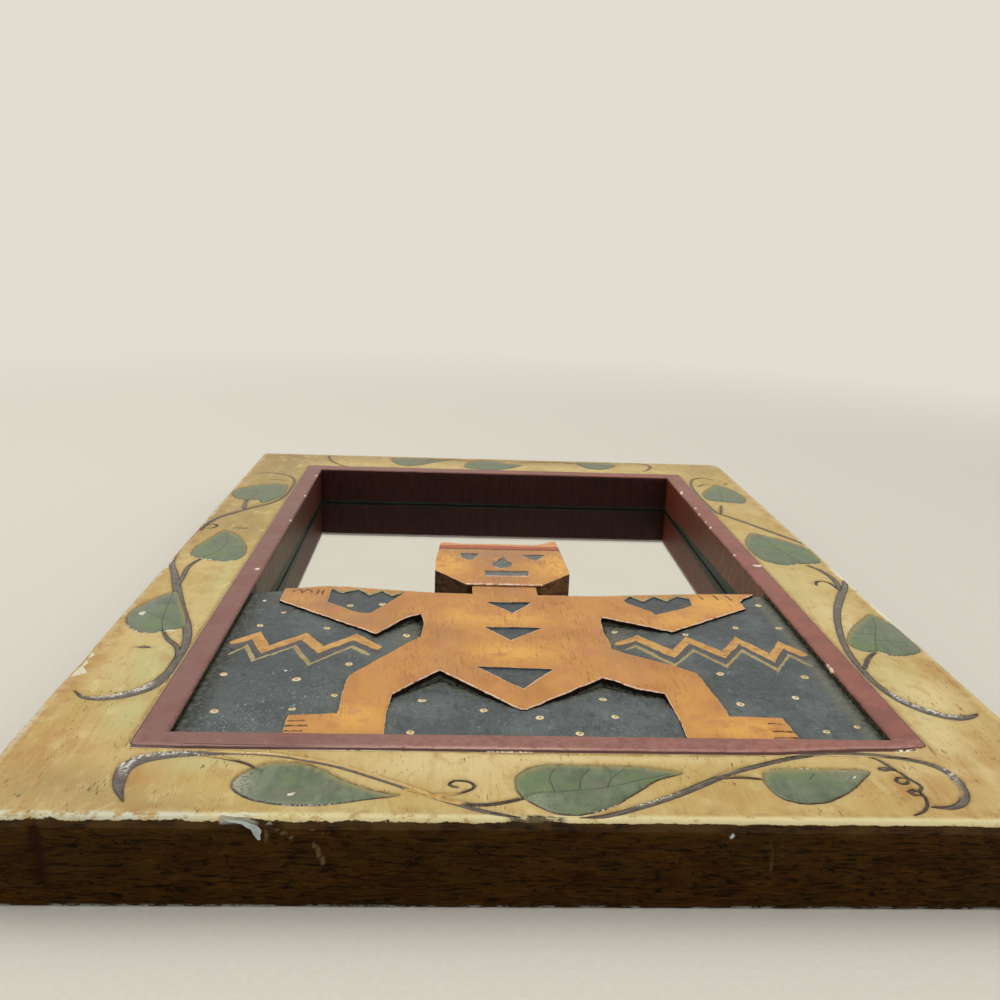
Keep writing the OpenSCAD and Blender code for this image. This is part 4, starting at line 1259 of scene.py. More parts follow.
def board(name, x0, x1, y0, y1, step):
    """One board of the frame: carved face, worn arris and sides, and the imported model's own back."""
    boundary = board_boundary(x0, x1, y0, y1)
    ornament = Ornament(boundary.min(0), boundary.max(0))
    regions = ornament.regions()
    seeds = within(boundary, [grid_points(boundary, step)] + ornament.seeds())
    points, tris, labels = triangulate(boundary, [r[1] for r in regions], seeds)
    kinds = [board_kind({regions[i][0] for i in label}) for label in labels]
    z = FACE_Z - FACE_PLAY + 0.1 * fbm(points, 18, 1.3)
    masks = board_masks(points)
    ornament.carve(points, z, masks)
    for i in np.nonzero(masks["rim"] < 2.5)[0]:
        z[i] -= wear_at(*points[i]) * 0.5 * math.exp(-max(masks["rim"][i], 0) / 0.9)
    bm, layers = relief(points, np.minimum(z, FACE_Z), tris, kinds, masks)
    board_sides(bm, layers)
    board_rest(bm, layers, name)
    bmesh.ops.remove_doubles(bm, verts=bm.verts, dist=0.01)
    return make_object(name + "_carved", bm, frame_set, "frame", (name,))


board("left_stile", -HALF_W, -OPEN_X, -HALF_L, HALF_L, 2.6)
board("right_stile", OPEN_X, HALF_W, -HALF_L, HALF_L, 2.6)
board("bottom_rail", -OPEN_X, OPEN_X, -HALF_L, -OPEN_Y, 2.2)
board("top_rail", -OPEN_X, OPEN_X, OPEN_Y, HALF_L, 2.8)


def flake():
    """A torn flake of paint that hangs from the near arris over its dent."""
    outline = [
        (-95.8, 30.4), (-94, 29.9), (-92.2, 29.7), (-90.8, 29.8), (-89.5, 29.4), (-87.8, 28.8),
        (-86.1, 28.3), (-85.2, 27.3), (-84.7, 26.3), (-85.2, 24.6), (-85.1, 23.4), (-85.7, 23),
        (-86.5, 23.8), (-87.4, 25.5), (-87.8, 26.8), (-89.3, 27.6), (-90.2, 28.5), (-92.4, 29.1),
        (-94.4, 29.3),
    ]
    edge = straight(outline, 0.7)
    points, tris, _ = triangulate(edge, [], within(edge, [grid_points(edge, 0.7)]))
    bm = bmesh.new()
    verts = [bm.verts.new((x, 0.2 - HALF_L - 0.15 * math.sin((FACE_Z - z) * 0.6), z))
             for x, z in points]
    for t in tris:
        bm.faces.new([verts[i] for i in t])
    bmesh.ops.solidify(bm, geom=list(bm.faces), thickness=0.12)
    for v in bm.verts:
        v.co.y = max(v.co.y, 0.02 - HALF_L)
    bmesh.ops.recalc_face_normals(bm, faces=bm.faces)
    # Its white is brighter and bluer than the chips' ground coat, as painted light on the upright flake
    torn = stroke_paint("torn_flake", (240, 247, 245), (210, 222, 220), 2.5, rough=0.6)
    return make_object("bottom_rail_flake", bm, [torn], "frame", ())


flake()


# Liner

liner_set = [liner_paint(), liner_wall_paint()]
# How far the near strip stops short of the board, by place across the mirror. Cream fills the rest.
NEAR_EDGE = [
    (-136, 1.5), (-117, 0.8), (66, 0.8), (82, 1.1), (91, 2.3), (100, 3.2), (113, 4.1), (126, 4.8),
    (136, 6.4),
]
# Paint broken off the liner, as patches
LINER_CHIPS = [
    (125.2, -133, 0.8, 6, 0.62), (-128, -26, 1.2, 1.6, 1.2), (133.4, -4, 2.6, 1.5, 1.3),
    (-125.6, 62, 0.8, 1.3, 1), (-125.6, 118, 0.8, 1.6, 1), (-126, 172, 1, 1.6, 1),
    (125.7, 14, 0.8, 1, 1), (125.7, 67, 0.8, 1.3, 1.1), (125.7, 78, 0.8, 1.2, 1),
    (125.7, 95.4, 0.8, 1.3, 1), (126.6, 110, 0.9, 1.6, 1.1), (126, 148.6, 1, 2.4, 1),
    (127.4, 153, 0.8, 1.6, 1), (-60, -203.4, 60, 0.5, 0.5),
]


def near_edge(x):
    """How far the near strip stops short of the board at a place across the mirror."""
    wander = 0.3 * noise.noise(Vector((x / 9, 0, 3))) + 0.15 * noise.noise(Vector((x / 3, 0, 5)))
    return float(np.interp(x, *zip(*NEAR_EDGE))) + wander


def arch_height(x):
    """Where the arched stem runs at a place across the mirror, as far as its highest turn."""
    return float(np.interp(x, [p[0] for p in ARCH[:16]], [p[1] for p in ARCH[:16]]))


def liner_strip(name, half_length, turn, x, y):
    """A mitred strip along X with a worn arris, turned and set with its outer edge's middle at x, y."""
    width = OPEN_X - LIGHT_X
    near = turn == math.pi
    stations = round(half_length / 0.9)
    turned = Matrix.Rotation(turn, 3, "Z")
    bm = bmesh.new()
    layers = {k: bm.verts.layers.float.new(k) for k in ("rim", "lap", "bare", "arch", "step")}
    rows = []
    for i in range(stations + 1):
        across = 2 * i / stations - 1
        # Where the maroon begins. It depends on the station's own place, so it is found in rounds.
        start = 0.05
        for _ in range(4 * near):
            start = near_edge(-across * (half_length - start))
        ledge = FACE_Z - LEDGE_DROP
        low = max(start - 0.7, start * 0.3)
        section = [(0.0, LINER_Z), (0.0, ledge), (low - 0.04, ledge), (low, ledge)]
        section += [(start, LINER_TOP - 0.22)]
        section += [(start + 0.25 + (width - start - 0.95) * k / 9, LINER_TOP) for k in range(9)]
        section += [(width - 0.7, LINER_TOP), (width - 0.25, LINER_TOP - 0.2), (width, LINER_TOP - 0.7)]
        section += [(width, LINER_TOP - 0.7 - (LINER_TOP - LINER_Z - 0.7) * k / LINER_LEVELS)
                    for k in range(1, LINER_LEVELS + 1)]
        row = []
        for u, z in section:
            t = across * (half_length - u)
            n = noise.noise(Vector((t / 7 + turn * 5, u / 4, z / 4)))
            fine = noise.noise(Vector((t / 1.8 + turn * 5, u / 2, 7.0)))
            arris = math.exp(-((u - width) ** 2 + (z - LINER_TOP) ** 2) / 1.2)
            free = z > FACE_Z and u > start
            into = arris * max(0.0, 0.25 * n + 0.2 * fine) if free else 0.0
            down = 0.05 + 0.06 * n + arris * max(0.0, 0.2 * fine) if free else 0.0
            v = bm.verts.new(turned @ Vector((t, into - u, z - down)) + Vector((x, y, 0)))
            v[layers["rim"]] = abs(width - u) + (LINER_TOP - z)
            short = v.co.y + OPEN_Y - near_edge(v.co.x)
            v[layers["lap"]] = min(u - 0.4, short)
            v[layers["arch"]] = v[layers["step"]] = FAR_OFF
            if near:
                v[layers["arch"]], v[layers["step"]] = v.co.y - arch_height(v.co.x), short
                v[layers["lap"]] = max(u - start + 0.35, 0.25) if u > low - 0.02 else -1.0
            elif short < 0:
                v.co.z = min(v.co.z, ledge)
            if z > LINER_TOP - 1.2:
                v[layers["bare"]] = float(spots(np.array([v.co.xy]), LINER_CHIPS)[0])
            row.append(v)
        rows.append(row)
    for a, b in zip(rows, rows[1:]):
        for k in range(len(section)):
            n = (k + 1) % len(section)
            wall = section[k][0] > width - 0.01 and section[n][0] > width - 0.01
            bm.faces.new([a[k], b[k], b[n], a[n]]).material_index = int(wall)
    bm.faces.new(rows[0])
    bm.faces.new(rows[-1][::-1])
    bmesh.ops.recalc_face_normals(bm, faces=bm.faces)
    return make_object(name + "_strip", bm, liner_set, "frame", (name,))


liner_strip("liner_top", OPEN_X, 0, 0, OPEN_Y)
liner_strip("liner_bottom", OPEN_X, math.pi, 0, -OPEN_Y)
liner_strip("liner_left", OPEN_Y, math.pi / 2, -OPEN_X, 0)
liner_strip("liner_right", OPEN_Y, -math.pi / 2, OPEN_X, 0)


# Carved panel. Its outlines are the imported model's, from the panel's bottom edge upwards.

def on_panel(points):
    """Points drawn from the middle of the panel's bottom edge, at their place on the part."""
    return np.array(points, float) + (0, PANEL_Y)


FIGURE = on_panel([
    (-110, 160), (-110, 127), (-62.5, 89.5), (-58.5, 96), (-50, 109), (-44, 113.5),
    (-42.5, 103), (-43, 88), (-48.5, 80.5), (-60, 63), (-69.5, 48.5), (-70.5, 40),
    (-70.5, 16.5), (-87.5, 15), (-88, -4), (-52.5, -4), (-53, 16), (-52, 32.5), (-34.5, 54),
    (-4.5, 21.5), (-2, 21.5), (30, 49.5), (42, 40), (52, 36), (53, 16), (53, -4),
    (93.5, -4), (92, 17.5), (72.5, 18.5), (71.5, 33), (69, 55), (60, 62.5),
    (44, 72.5), (37.5, 78.5), (38.5, 83), (37, 94), (37.5, 109.5), (38.5, 113.5),
    (51, 107), (68, 97.5), (109.5, 128), (109.5, 137), (112.5, 141), (118.5, 146.5), (122, 160)])
LEFT_TEETH = [
    (-53, 140.8), (-58.7, 135), (-63.7, 141.8), (-69, 135.4), (-75.3, 143.6), (-82.7, 138.2),
    (-88, 144),
]
RIGHT_TEETH = [
    (85.2, 139), (79.7, 142.5), (73.3, 135.2), (68, 141.2), (61.7, 134.2), (56.3, 141),
    (52.5, 135.5),
]
POCKETS = [
    on_panel([(-88, 127), (-75.5, 116), (-71.5, 113.2), (-67.3, 113.2), (-57.3, 131)] + LEFT_TEETH),
    on_panel([(53.5, 132), (63.5, 121), (64.5, 117.8), (80, 127), (84.5, 131)] + RIGHT_TEETH),
]
TRIANGLES = [
    on_panel([(-14, 130.5), (7.7, 130.5), (-2, 116.5)]),
    on_panel([(-15.7, 99.8), (10, 99.5), (-4.7, 85.2)]),
    on_panel([(-20, 58.2), (11, 56.8), (-2.3, 38.5)]),
]
HEAD_X = -4.5
CHIN_Y = PANEL_Y + 151.5


def on_head(points):
    """Points drawn from the middle of the chin, at their place on the part."""
    return np.array(points, float) + (HEAD_X, CHIN_Y)


def across_head(low, high):
    """A band across the head, between two heights above the chin."""
    return straight(on_head([(-40, low), (40, low), (40, high), (-40, high)]), 1.6)


HEAD = on_head([
    (-18.5, 0), (18.5, 0), (34.5, 18.5), (34.5, 25.5), (32.5, 73.5), (30.5, 74.5), (21.5, 67.5),
    (-24.5, 67.5), (-29.5, 69.5), (-32.5, 67.5), (-34.5, 35.5), (-34.5, 20.5)])
FACE = [
    on_head([(-21.5, 49.5), (-11, 48.5), (-15.5, 37.8), (-18.3, 37.8), (-21, 43)]),
    on_head([(11.5, 48), (25, 49), (18.5, 38.3), (15.5, 41)]),
    on_head([(1.5, 43), (5.6, 33), (5.3, 29), (2.5, 26), (-0.5, 25), (-4, 27.5), (-5.2, 31.5)]),
    on_head([(-9, 13.2), (13, 13.8), (13.5, 21.2), (-9, 21)]),
]
SUNK_DEPTHS = [POCKET_DEPTH] * len(POCKETS) + [TRIANGLE_DEPTH] * len(TRIANGLES)
SUNK_DEPTHS += [FACE_DEPTH] * len(FACE)
# The headband is painted from its lower edge to just short of a ledge below the crown.
# A groove lies under it.
BAND_LOW, BAND_PAINT, BAND_TOP, BAND_GROOVE = 57.0, 61.8, 64.0, 1.8

# Fingers and toes, as knife cuts from point to point, each with its width
NICKS = [
    ([(-105.6, 137.4), (-105, 140.6), (-103.4, 141.8), (-101.9, 140.6), (-101.4, 137.6)], 0.9),
    ([(-100.9, 137.6), (-100.2, 140.6), (-98.8, 141.6), (-97.4, 140.6), (-96.6, 137.6)], 0.9),
    ([(-93.9, 142), (-94, 135.2)], 0.9), ([(-91.5, 142), (-91.6, 135.4)], 0.9),
    ([(-93.8, 138.8), (-91.6, 138.8)], 0.7), ([(90.6, 143.4), (91.8, 138.6)], 0.9),
    ([(98, 144.4), (99.2, 138.4)], 1.0), ([(104, 143.6), (105.8, 138)], 1.0),
    ([(-87.2, 10.2), (-81, 10.6)], 0.9), ([(-87.4, 6.6), (-79.6, 6.8)], 1.2),
    ([(-87.6, 2.8), (-80.8, 3)], 1.2), ([(85, 12.7), (91, 12.5)], 0.6),
    ([(84.6, 7), (92.8, 6.6)], 1.1), ([(84, 2.2), (93, 2.4)], 1.2),
]

# Painted zigzags, as they are seen at the level of the figure's face, each with the widths of
# its rising and its falling strokes
ZIGZAGS = [
    ([(-121.5, -116.5), (-112.4, -108), (-106.2, -122), (-92.3, -108), (-83.7, -121.3),
      (-70.7, -108), (-59.6, -119.6)],
     4.2, 5.2, "gold"),
    ([(40, -111.5), (50.5, -103.5), (63, -120), (72.7, -104.5), (84.2, -120), (94.7, -104.5),
      (104.4, -122), (112.7, -108.5), (120, -119.6)],
     3.8, 5.0, "gold"),
    ([(-120, -127.9), (-114.3, -119.3), (-108.7, -132.7), (-94.7, -118.7), (-86.3, -135.7),
      (-71.3, -117.7), (-63.3, -125.9)],
     1.3, 2.2, "pale"),
    ([(43.3, -117), (48.3, -112), (61.3, -131.3), (72.7, -116), (82.7, -131.3), (93.7, -115.3),
      (103, -134.3), (112.7, -119.3), (118.7, -130)],
     1.3, 2.0, "pale"),
]
# Painted dots, as they are seen at the same level, each with its radius
DOTS = [
    (-117.3, -146.3, 1.5), (-89.1, -149.7, 1.7), (-70.7, -135.3, 1.6), (-73, -162.7, 1.4),
    (-86.8, -174.1, 1.3), (-113.8, -176.5, 1.5), (-40.5, -165.7, 1.7), (-43.7, -190.2, 1.4),
    (-17.9, -173.2, 1.5), (2.2, -178, 1.5), (15.3, -189.5, 1.5), (27.1, -162.7, 1.7),
    (29.8, -176.7, 1.4), (78.1, -138.7, 1.6), (112.1, -140.5, 1.7), (102, -159.2, 1.4),
    (79, -165, 1.6), (117, -181.9, 1.2), (104.2, -185.8, 1.4), (-105.5, -81.3, 1.2),
    (-113, -97, 1.5), (-84, -98.7, 1.5), (-49.3, -105.3, 1.6), (116.8, -61.2, 1.7),
    (97.7, -90, 1.4), (117.9, -89.3, 1.6), (73, -98.7, 1.4), (41.7, -97.2, 1.4), (-77, -69.3, 1.6),
    (-62.3, -67, 1.7),
]
# White specks on the ground, at its own level
SPECKS = [(-108, -191, 1.6), (-117.4, -63.4, 0.9), (-60, -190.6, 0.6), (-95, -139, 0.6)]

# Tones of the panel's paints, as (x, y, radius along X, radius along Y, strength)
PANEL_TONES = {
    "glow": [
        (-4, -84, 20, 10, 0.9), (-6, -121, 20, 11, 1), (99, -60, 18, 12, 1.2),
        (74, -82, 18, 9, 0.8), (-64, -178, 12, 12, 0.9), (78, -184, 20, 8, 1),
        (-33, -12, 11, 17, 1.2), (25, -12, 12, 17, 1.3), (-28, -80, 10, 10, 0.5),
        (-100, -64, 9, 7, 0.4), (60, -165, 8, 14, 0.4)],
    "dull": [
        (-84, -68, 20, 14, 0.9), (-68, -90, 14, 9, 0.7), (-5, 12, 24, 6, 1), (-4, 4, 26, 9, 1),
        (-8, -8, 9, 14, 0.7), (-4, -33, 12, 7, 0.6), (-32, -110, 8, 26, 0.45),
        (40, -118, 12, 20, 0.45), (-104, -52, 10, 5, 0.6), (-4, -48, 18, 5, 0.4),
        (-30, -146, 10, 14, 0.4)],
    "scuff": [
        (-92, -158, 20, 24, 0.9), (-108, -184, 16, 12, 0.9), (-70, -150, 10, 20, 0.4),
        (28, -184, 14, 10, 0.6), (-12, -186, 20, 8, 0.4), (96, -170, 20, 14, 0.3)],
    "dim": [(-98, -150, 26, 34, 1), (-110, -110, 14, 20, 0.5)],
}


def ground_level(points):
    """Level of the sunk ground at each point, from the slopes of its three zones."""
    x, y = points[:, 0], points[:, 1]
    left = np.interp(-x, [36, 66], [GROUND_DEEP, GROUND_SIDE])
    right = np.interp(x, [31, 66], [GROUND_DEEP, GROUND_SIDE])
    middle = np.interp(y - PANEL_Y, [22, 56], [GROUND_FOOT, GROUND_DEEP])
    between = (np.abs(x) < 62) & (y - PANEL_Y < 62 - np.abs(x) * 0.27)
    return FIGURE_TOP - np.where(between, middle, np.where(x < 0, left, right))


def seen_on_ground(points):
    """Where points that were read at the level of the figure's face lie on the ground below it."""
    eye = np.array(CAMERA.xy)
    out = points
    for _ in range(3):
        out = eye + (points - eye) * ((CAMERA.z - ground_level(out)) / (CAMERA.z - FIGURE_TOP))[:, None]
    return out


def zigzag(points, rising, falling):
    """The outline of one painted zigzag on the ground."""
    line = straight(points, 1.4, closed=False)
    falls = np.gradient(line[:, 1]) < 0
    widths = np.where(falls, falling, rising) * np.clip(np.arange(len(line)) * 0.4 + 0.5, 0, 1)
    widths *= np.clip(np.arange(len(line))[::-1] * 0.4 + 0.5, 0, 1)
    return hand_cut(ribbon(seen_on_ground(line), widths), 0.35, 2.2)


def panel_boundary():
    """The panel's outline in plan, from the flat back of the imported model."""
    bm = cad_faces("carved_panel", lambda centre, normal: centre.z < PANEL_Z + 0.01)
    edges = {e for e in bm.edges if e.is_boundary}
    here = min((v for e in edges for v in e.verts), key=lambda v: (v.co.x, v.co.y))
    loop = []
    while edges:
        loop.append((here.co.x, here.co.y))
        e = next((e for e in here.link_edges if e in edges), None)
        if e is None:
            break
        edges.discard(e)
        here = e.other_vert(here)
    bm.free()
    loop = np.array(loop)
    return loop if area(loop) > 0 else loop[::-1]


panel_paints = {
    "figure": figure_paint(), "ground": slate_paint(), "wall": wall_paint(), "core": core_paint(),
    "gold": stroke_paint("gold_stroke", (214, 166, 92), (188, 134, 68), fleck=(120, 84, 44)),
    "pale": stroke_paint("pale_stroke", (176, 160, 108), (150, 128, 80), fleck=(206, 194, 150)),
    "dot": stroke_paint("dot_ring", (234, 218, 172), (208, 184, 128), 9.0, fleck=(222, 200, 156)),
    "eye": stroke_paint("dot_eye", (180, 130, 90), (152, 114, 70), 7.0),
    "band": stroke_paint("headband_paint", (188, 90, 66), (168, 80, 58), fleck=(212, 128, 98)),
    "inlay": inlay_paint(),
    "crest": stroke_paint("crest_paint", (224, 160, 96), (206, 132, 76), fleck=(236, 186, 112)),
    "nick": stroke_paint("nick_paint", (116, 76, 38), (88, 54, 26), fleck=(150, 98, 54)),
    # One white paint for the mouth's painted highlights and the ground's white specks
    "glint": stroke_paint("glint_paint", (240, 238, 228), (214, 210, 196), 1.0),
    "plum": stroke_paint("plum_stroke", (82, 76, 76), (72, 74, 78), 3.0, fleck=(98, 92, 88)),
}
KIND = {name: i for i, name in enumerate(panel_paints)}


def panel_kind(found):
    """The paint of a triangle of the panel, from the areas that it lies in."""
    raised = found & {"figure", "head", "figure_foot", "head_foot"}
    if "glint" in found:
        return "glint"
    for name, paint in (("eye", "eye"), ("dot", "dot"), ("speck", "glint")):
        if name in found and (not raised or "sunk" in found):
            return paint
    if "sunk" in found:
        return "inlay"
    if "head" in found:
        return next((name for name in ("nick", "band", "crest") if name in found), "figure")
    if "figure" in found:
        if found & {"nick", "head_foot"}:
            return "nick"
        return "pale" if "teeth" in found else "figure"
    if "figure_foot" in found:
        return "wall"
    return next((name for name in ("gold", "pale", "plum") if name in found), "ground")


def panel_regions(figure, head, sunk):
    """Outlines of every area of the panel, each with the name of what it bounds."""
    made = [("figure", figure), ("figure_foot", grown(figure, STEEP)),
            ("head", head), ("head_foot", grown(head, STEEP))]
    for s in sunk:
        made += [("sunk", s), ("sunk", grown(s, -STEEP))]
    made += [("band", across_head(BAND_LOW, BAND_PAINT)),
             ("crest", across_head(BAND_PAINT, BAND_TOP + 16)),
             ("nick", hand_cut(across_head(BAND_LOW - BAND_GROOVE, BAND_LOW), 0.3, 3)),
             ("nick", hand_cut(across_head(BAND_PAINT - 0.6, BAND_PAINT), 0.3, 3)),
             ("nick", straight(on_head([(-18.3, -1.3), (18.3, -1.3), (18.3, -0.15), (-18.3, -0.15)]),
                               1.5))]
    for line, width in NICKS:
        line = straight(on_panel(line), 1.0, closed=False)
        made.append(("nick", hand_cut(ribbon(line, width), 0.25, 1.2)))
    for teeth in (LEFT_TEETH, RIGHT_TEETH):
        line = straight(on_panel(teeth) + (0, 1.1), 1.2, closed=False)
        made.append(("teeth", hand_cut(ribbon(line, 1.5), 0.3, 2)))
    made += [(name, zigzag(points, rising, falling)) for points, rising, falling, name in ZIGZAGS]
    # A dull plum shadow stroke lies just below each gold one
    made += [("plum", zigzag(np.array(points) - (0, 3.6), 5.0, 5.0))
             for points, _, _, name in ZIGZAGS if name == "gold"]
    for x, y, r in DOTS:
        pocketed = y > -70 and abs(x) < 80
        centre = np.array((x, y)) if pocketed else seen_on_ground(np.array([(x, y)]))[0]
        made += [("dot", hand_cut(circle(centre, r), 0.3, 1.5)),
                 ("eye", circle(centre + (0.1, 0), r * 0.38, 8))]
    made += [("speck", hand_cut(circle((x, y), r, 8), 0.5, 1.2)) for x, y, r in SPECKS]
    # White specks along the lower edge of the mouth, in part chips and in part painted highlight
    left, right = FACE[3][:2]
    for centre, size in ((left + (1.6, 0.9), 1.3), (right + (-2.2, 0.9), 1.5),
                         (right + (-7.5, 0.5), 0.8)):
        flat = (circle(centre, size, 10) - centre) * (1, 0.6) + centre
        made.append(("glint", hand_cut(flat, 0.4, 1.2)))
    return made


class PanelPlan:
    """Every point of the panel's face, with how far it lies from the figure, the head and the rim."""

    def __init__(self, points, boundary, figure, head):
        self.points, self.figure = points, figure
        self.to_figure, self.to_head = signed(points, figure), signed(points, head)
        self.to_rim = nearest(points, boundary)[0]
        self.on_head = self.to_head < 0.05
        self.on_figure = (self.to_figure < 0.05) & ~self.on_head
        self.above_chin = points[:, 1] - CHIN_Y
        raised = self.on_head | self.on_figure
        self.to_edge = np.where(self.on_head, np.abs(self.to_head),
                                np.where(self.on_figure, np.abs(self.to_figure), FAR_OFF))
        self.to_edge = np.minimum(self.to_edge, np.where(raised, self.to_rim, FAR_OFF))

    def heights(self, sunk, regions):
        """The carving's heights. Keeps each point's distance to the nearest arris in to_edge."""
        points, on_head, on_figure = self.points, self.on_head, self.on_figure
        ground = ground_level(points) + 0.18 * fbm(points, 5, 2.0) + 0.16 * fbm(points, 1.8, 4.0, 2)
        z = np.where(on_head, HEAD_TOP - 0.08 + 0.08 * fbm(points, 12, 8.0),
                     np.where(on_figure, FIGURE_TOP - 0.1 + 0.12 * fbm(points, 9, 6.0), ground))
        for outline, depth in zip(sunk, SUNK_DEPTHS):
            near = around(points, outline)
            d = signed(points[near], outline)
            z[near] -= np.where(d < -0.1, depth, 0)
            beside_it = np.where(d > -0.1, np.abs(d) + 0.1, FAR_OFF)
            self.to_edge[near] = np.minimum(self.to_edge[near], beside_it)
        # Worn arrises round the figure, the head and the panel
        worn = np.clip(0.4 + 0.3 * fbm(points, 5, 9.0), 0.12, 0.8)
        z -= worn * np.clip(1 - self.to_edge / 0.9, 0, 1) ** 2
        z -= np.where(on_head | on_figure, 0, 0.25 * np.exp(-self.to_rim / 0.7))
        groove = 0.6 * np.exp(-((self.above_chin - BAND_LOW + BAND_GROOVE / 2) / 0.6) ** 2)
        z -= np.where(on_head, groove, 0)
        z -= np.where(on_head & (self.above_chin > BAND_TOP - 0.05), 0.5, 0)
        for line, width in NICKS:
            line = on_panel(line)
            near = around(points, line)
            d = nearest(points[near], straight(line, 1.2, closed=False), closed=False)[0]
            z[near] -= np.where(on_figure[near], 0.5 * np.clip(1 - (d / width * 1.8) ** 2, 0, 1), 0)
        for name, outline in regions:
            if name in ("gold", "pale", "dot"):
                near = around(points, outline)
                z[near] += np.where(signed(points[near], outline) < -0.05, PAINT_RISE, 0)
        return np.minimum(z, HEAD_TOP - 0.01)

    def rubbed_and_lit(self, sunk):
        """Paint rubbed off below the triangles and the face's cuts, and along lower edges, in part
        painted highlight.
        """
        mask = np.zeros(len(self.points))
        for outline in sunk[len(POCKETS):]:
            below = inside(self.points + (0, 1.3), outline) & ~inside(self.points, outline)
            fade = 1 - 0.4 * np.clip(nearest(self.points, outline)[0], 0, 1)
            mask = np.maximum(mask, below * fade)
        open_below = ~inside(self.points - (0, 1.0), self.figure)
        mask[self.on_figure & (self.to_figure > -0.7) & open_below] = 0.5
        chin = (self.above_chin < 1.0) & (np.abs(self.points[:, 0] - HEAD_X) < 22)
        mask[self.on_head & chin] = 1.0
        return mask

    def masks(self, sunk):
        """The masks that the panel's paints take."""
        x = self.points[:, 0]
        deep = np.clip((FIGURE_TOP - ground_level(self.points) - 1.0) / 2.4, 0, 1)
        # Old glaze in the corners: mossy, with pale crusts a little way off, and right in them soot
        # with painted shade, more where the carving's walls are tall
        off_figure = np.abs(self.to_figure)
        moss = np.exp(-self.to_rim / 2.6) + 0.7 * np.exp(-off_figure / 4) * deep
        to_wall = np.where(x > 60, LIGHT_X - x, 99.0)
        crust = 0.8 * np.exp(-((to_wall - 4.6) / 2.4) ** 2)
        crust += 0.8 * np.exp(-((self.to_figure - 2.6) / 1.6) ** 2) * deep
        crust += spots(self.points, [(-50, -100, 6, 8, 0.7), (44, -96, 5, 8, 0.7)])
        soot_and_shade = 1.5 * np.exp(-((x + LIGHT_X) / 7) ** 2) + 1.6 * np.exp(-to_wall / 1.8)
        soot_and_shade += np.exp(-self.to_rim / 0.6) + 1.3 * np.exp(-off_figure / 1.9) * (0.25 + deep)
        made = {k: spots(self.points, places) for k, places in PANEL_TONES.items()}
        made |= {"edge": np.exp(-self.to_edge / 0.7), "rub": self.rubbed_and_lit(sunk)}
        glaze = {"moss": moss, "pale": crust, "soot_and_shade": soot_and_shade}
        return made | {k: np.clip(v, 0, 1) for k, v in glaze.items()}


def panel_sides(bm):
    """The sawn sides and the flat back, below the rim of the panel's face."""
    def plan(v):
        return round(v.co.x, 2), round(v.co.y, 2)

    tops = {plan(v): v.co.z for v in bm.verts if v.is_boundary}

    def place(v, ring):
        v.co.z = tops[plan(v)] + (PANEL_Z - tops[plan(v)]) * (ring + 1) / PANEL_LEVELS

    edges = [e for e in bm.edges if e.is_boundary]
    edges, _ = skirt(bm, edges, PANEL_LEVELS, place, lambda ring: KIND["core"])
    for f in bmesh.ops.triangle_fill(bm, edges=edges, use_beauty=True)["geom"]:
        if isinstance(f, bmesh.types.BMFace):
            f.material_index = KIND["core"]
    bmesh.ops.recalc_face_normals(bm, faces=bm.faces)


def carved_panel():
    boundary = straight(panel_boundary(), 1.6)
    figure = hand_cut(straight(FIGURE, 1.3), 0.3, 4)
    head = straight(HEAD, 1.4)
    sunk = [hand_cut(straight(s, 1.2), 0.2, 3) for s in (*POCKETS, *TRIANGLES, *FACE)]
    regions = panel_regions(figure, head, sunk)
    groups = [grid_points(boundary, 1.9), beside(figure, True, (0.45, 1.0, 2.0)),
              beside(head, True, (0.4, 0.9)), beside(boundary, True, (0.4, 0.9))]
    groups += [beside(s, True, (0.5, 1.0)) for s in sunk]
    points, tris, labels = triangulate(boundary, [r[1] for r in regions], within(boundary, groups))
    kinds = [KIND[panel_kind({regions[i][0] for i in label})] for label in labels]
    plan = PanelPlan(points, boundary, figure, head)
    bm, _ = relief(points, plan.heights(sunk, regions), tris, kinds, plan.masks(sunk))
    panel_sides(bm)
    return make_object("carved_panel_relief", bm, panel_paints.values(), "frame", ("carved_panel",),
                       sharp=32)


carved_panel()


# Glass, with its silvering on the back face, which stays just clear of the backing

def mirror():
    bm = bmesh.new()
    bmesh.ops.create_grid(bm, x_segments=12, y_segments=18, size=1.0)
    for v in bm.verts:
        v.co = Vector((v.co.x * glass_high.x, v.co.y * glass_high.y, glass_high.z))
    edges = [e for e in bm.edges if e.is_boundary]

    def place(v, ring):
        v.co.z = glass_low.z + SILVER_GAP

    edges, _ = skirt(bm, edges, 1, place, lambda ring: 1)
    for f in bmesh.ops.edgeloop_fill(bm, edges=edges)["faces"]:
        f.material_index = 2
    bmesh.ops.recalc_face_normals(bm, faces=bm.faces)
    return make_object("mirror_glass_silvered", bm, [clear_glass(), green_edge(), silvering()], "frame",
                       ("mirror_glass",))


mirror()


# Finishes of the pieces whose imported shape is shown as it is

def finish_node(node, material):
    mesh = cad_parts[node].data
    mesh.materials.clear()
    mesh.materials.append(material)


dowel_wood = wood("dowel_wood", (214, 184, 138), (190, 154, 104))
zinc = metal("zinc", (176, 178, 178), (140, 142, 144))
button_brass = metal("button_brass", (196, 166, 100), (150, 118, 62), 0.32)
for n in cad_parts:
    if n.endswith("dowels"):
        finish_node(n, dowel_wood)
    elif n.startswith("hanger") or n == "button_screws":
        finish_node(n, zinc)
    elif n.startswith("turn_button"):
        finish_node(n, button_brass)
finish_node("backing_board", hardboard())


# Floor, light and camera

BACKDROP = (226, 221, 208)


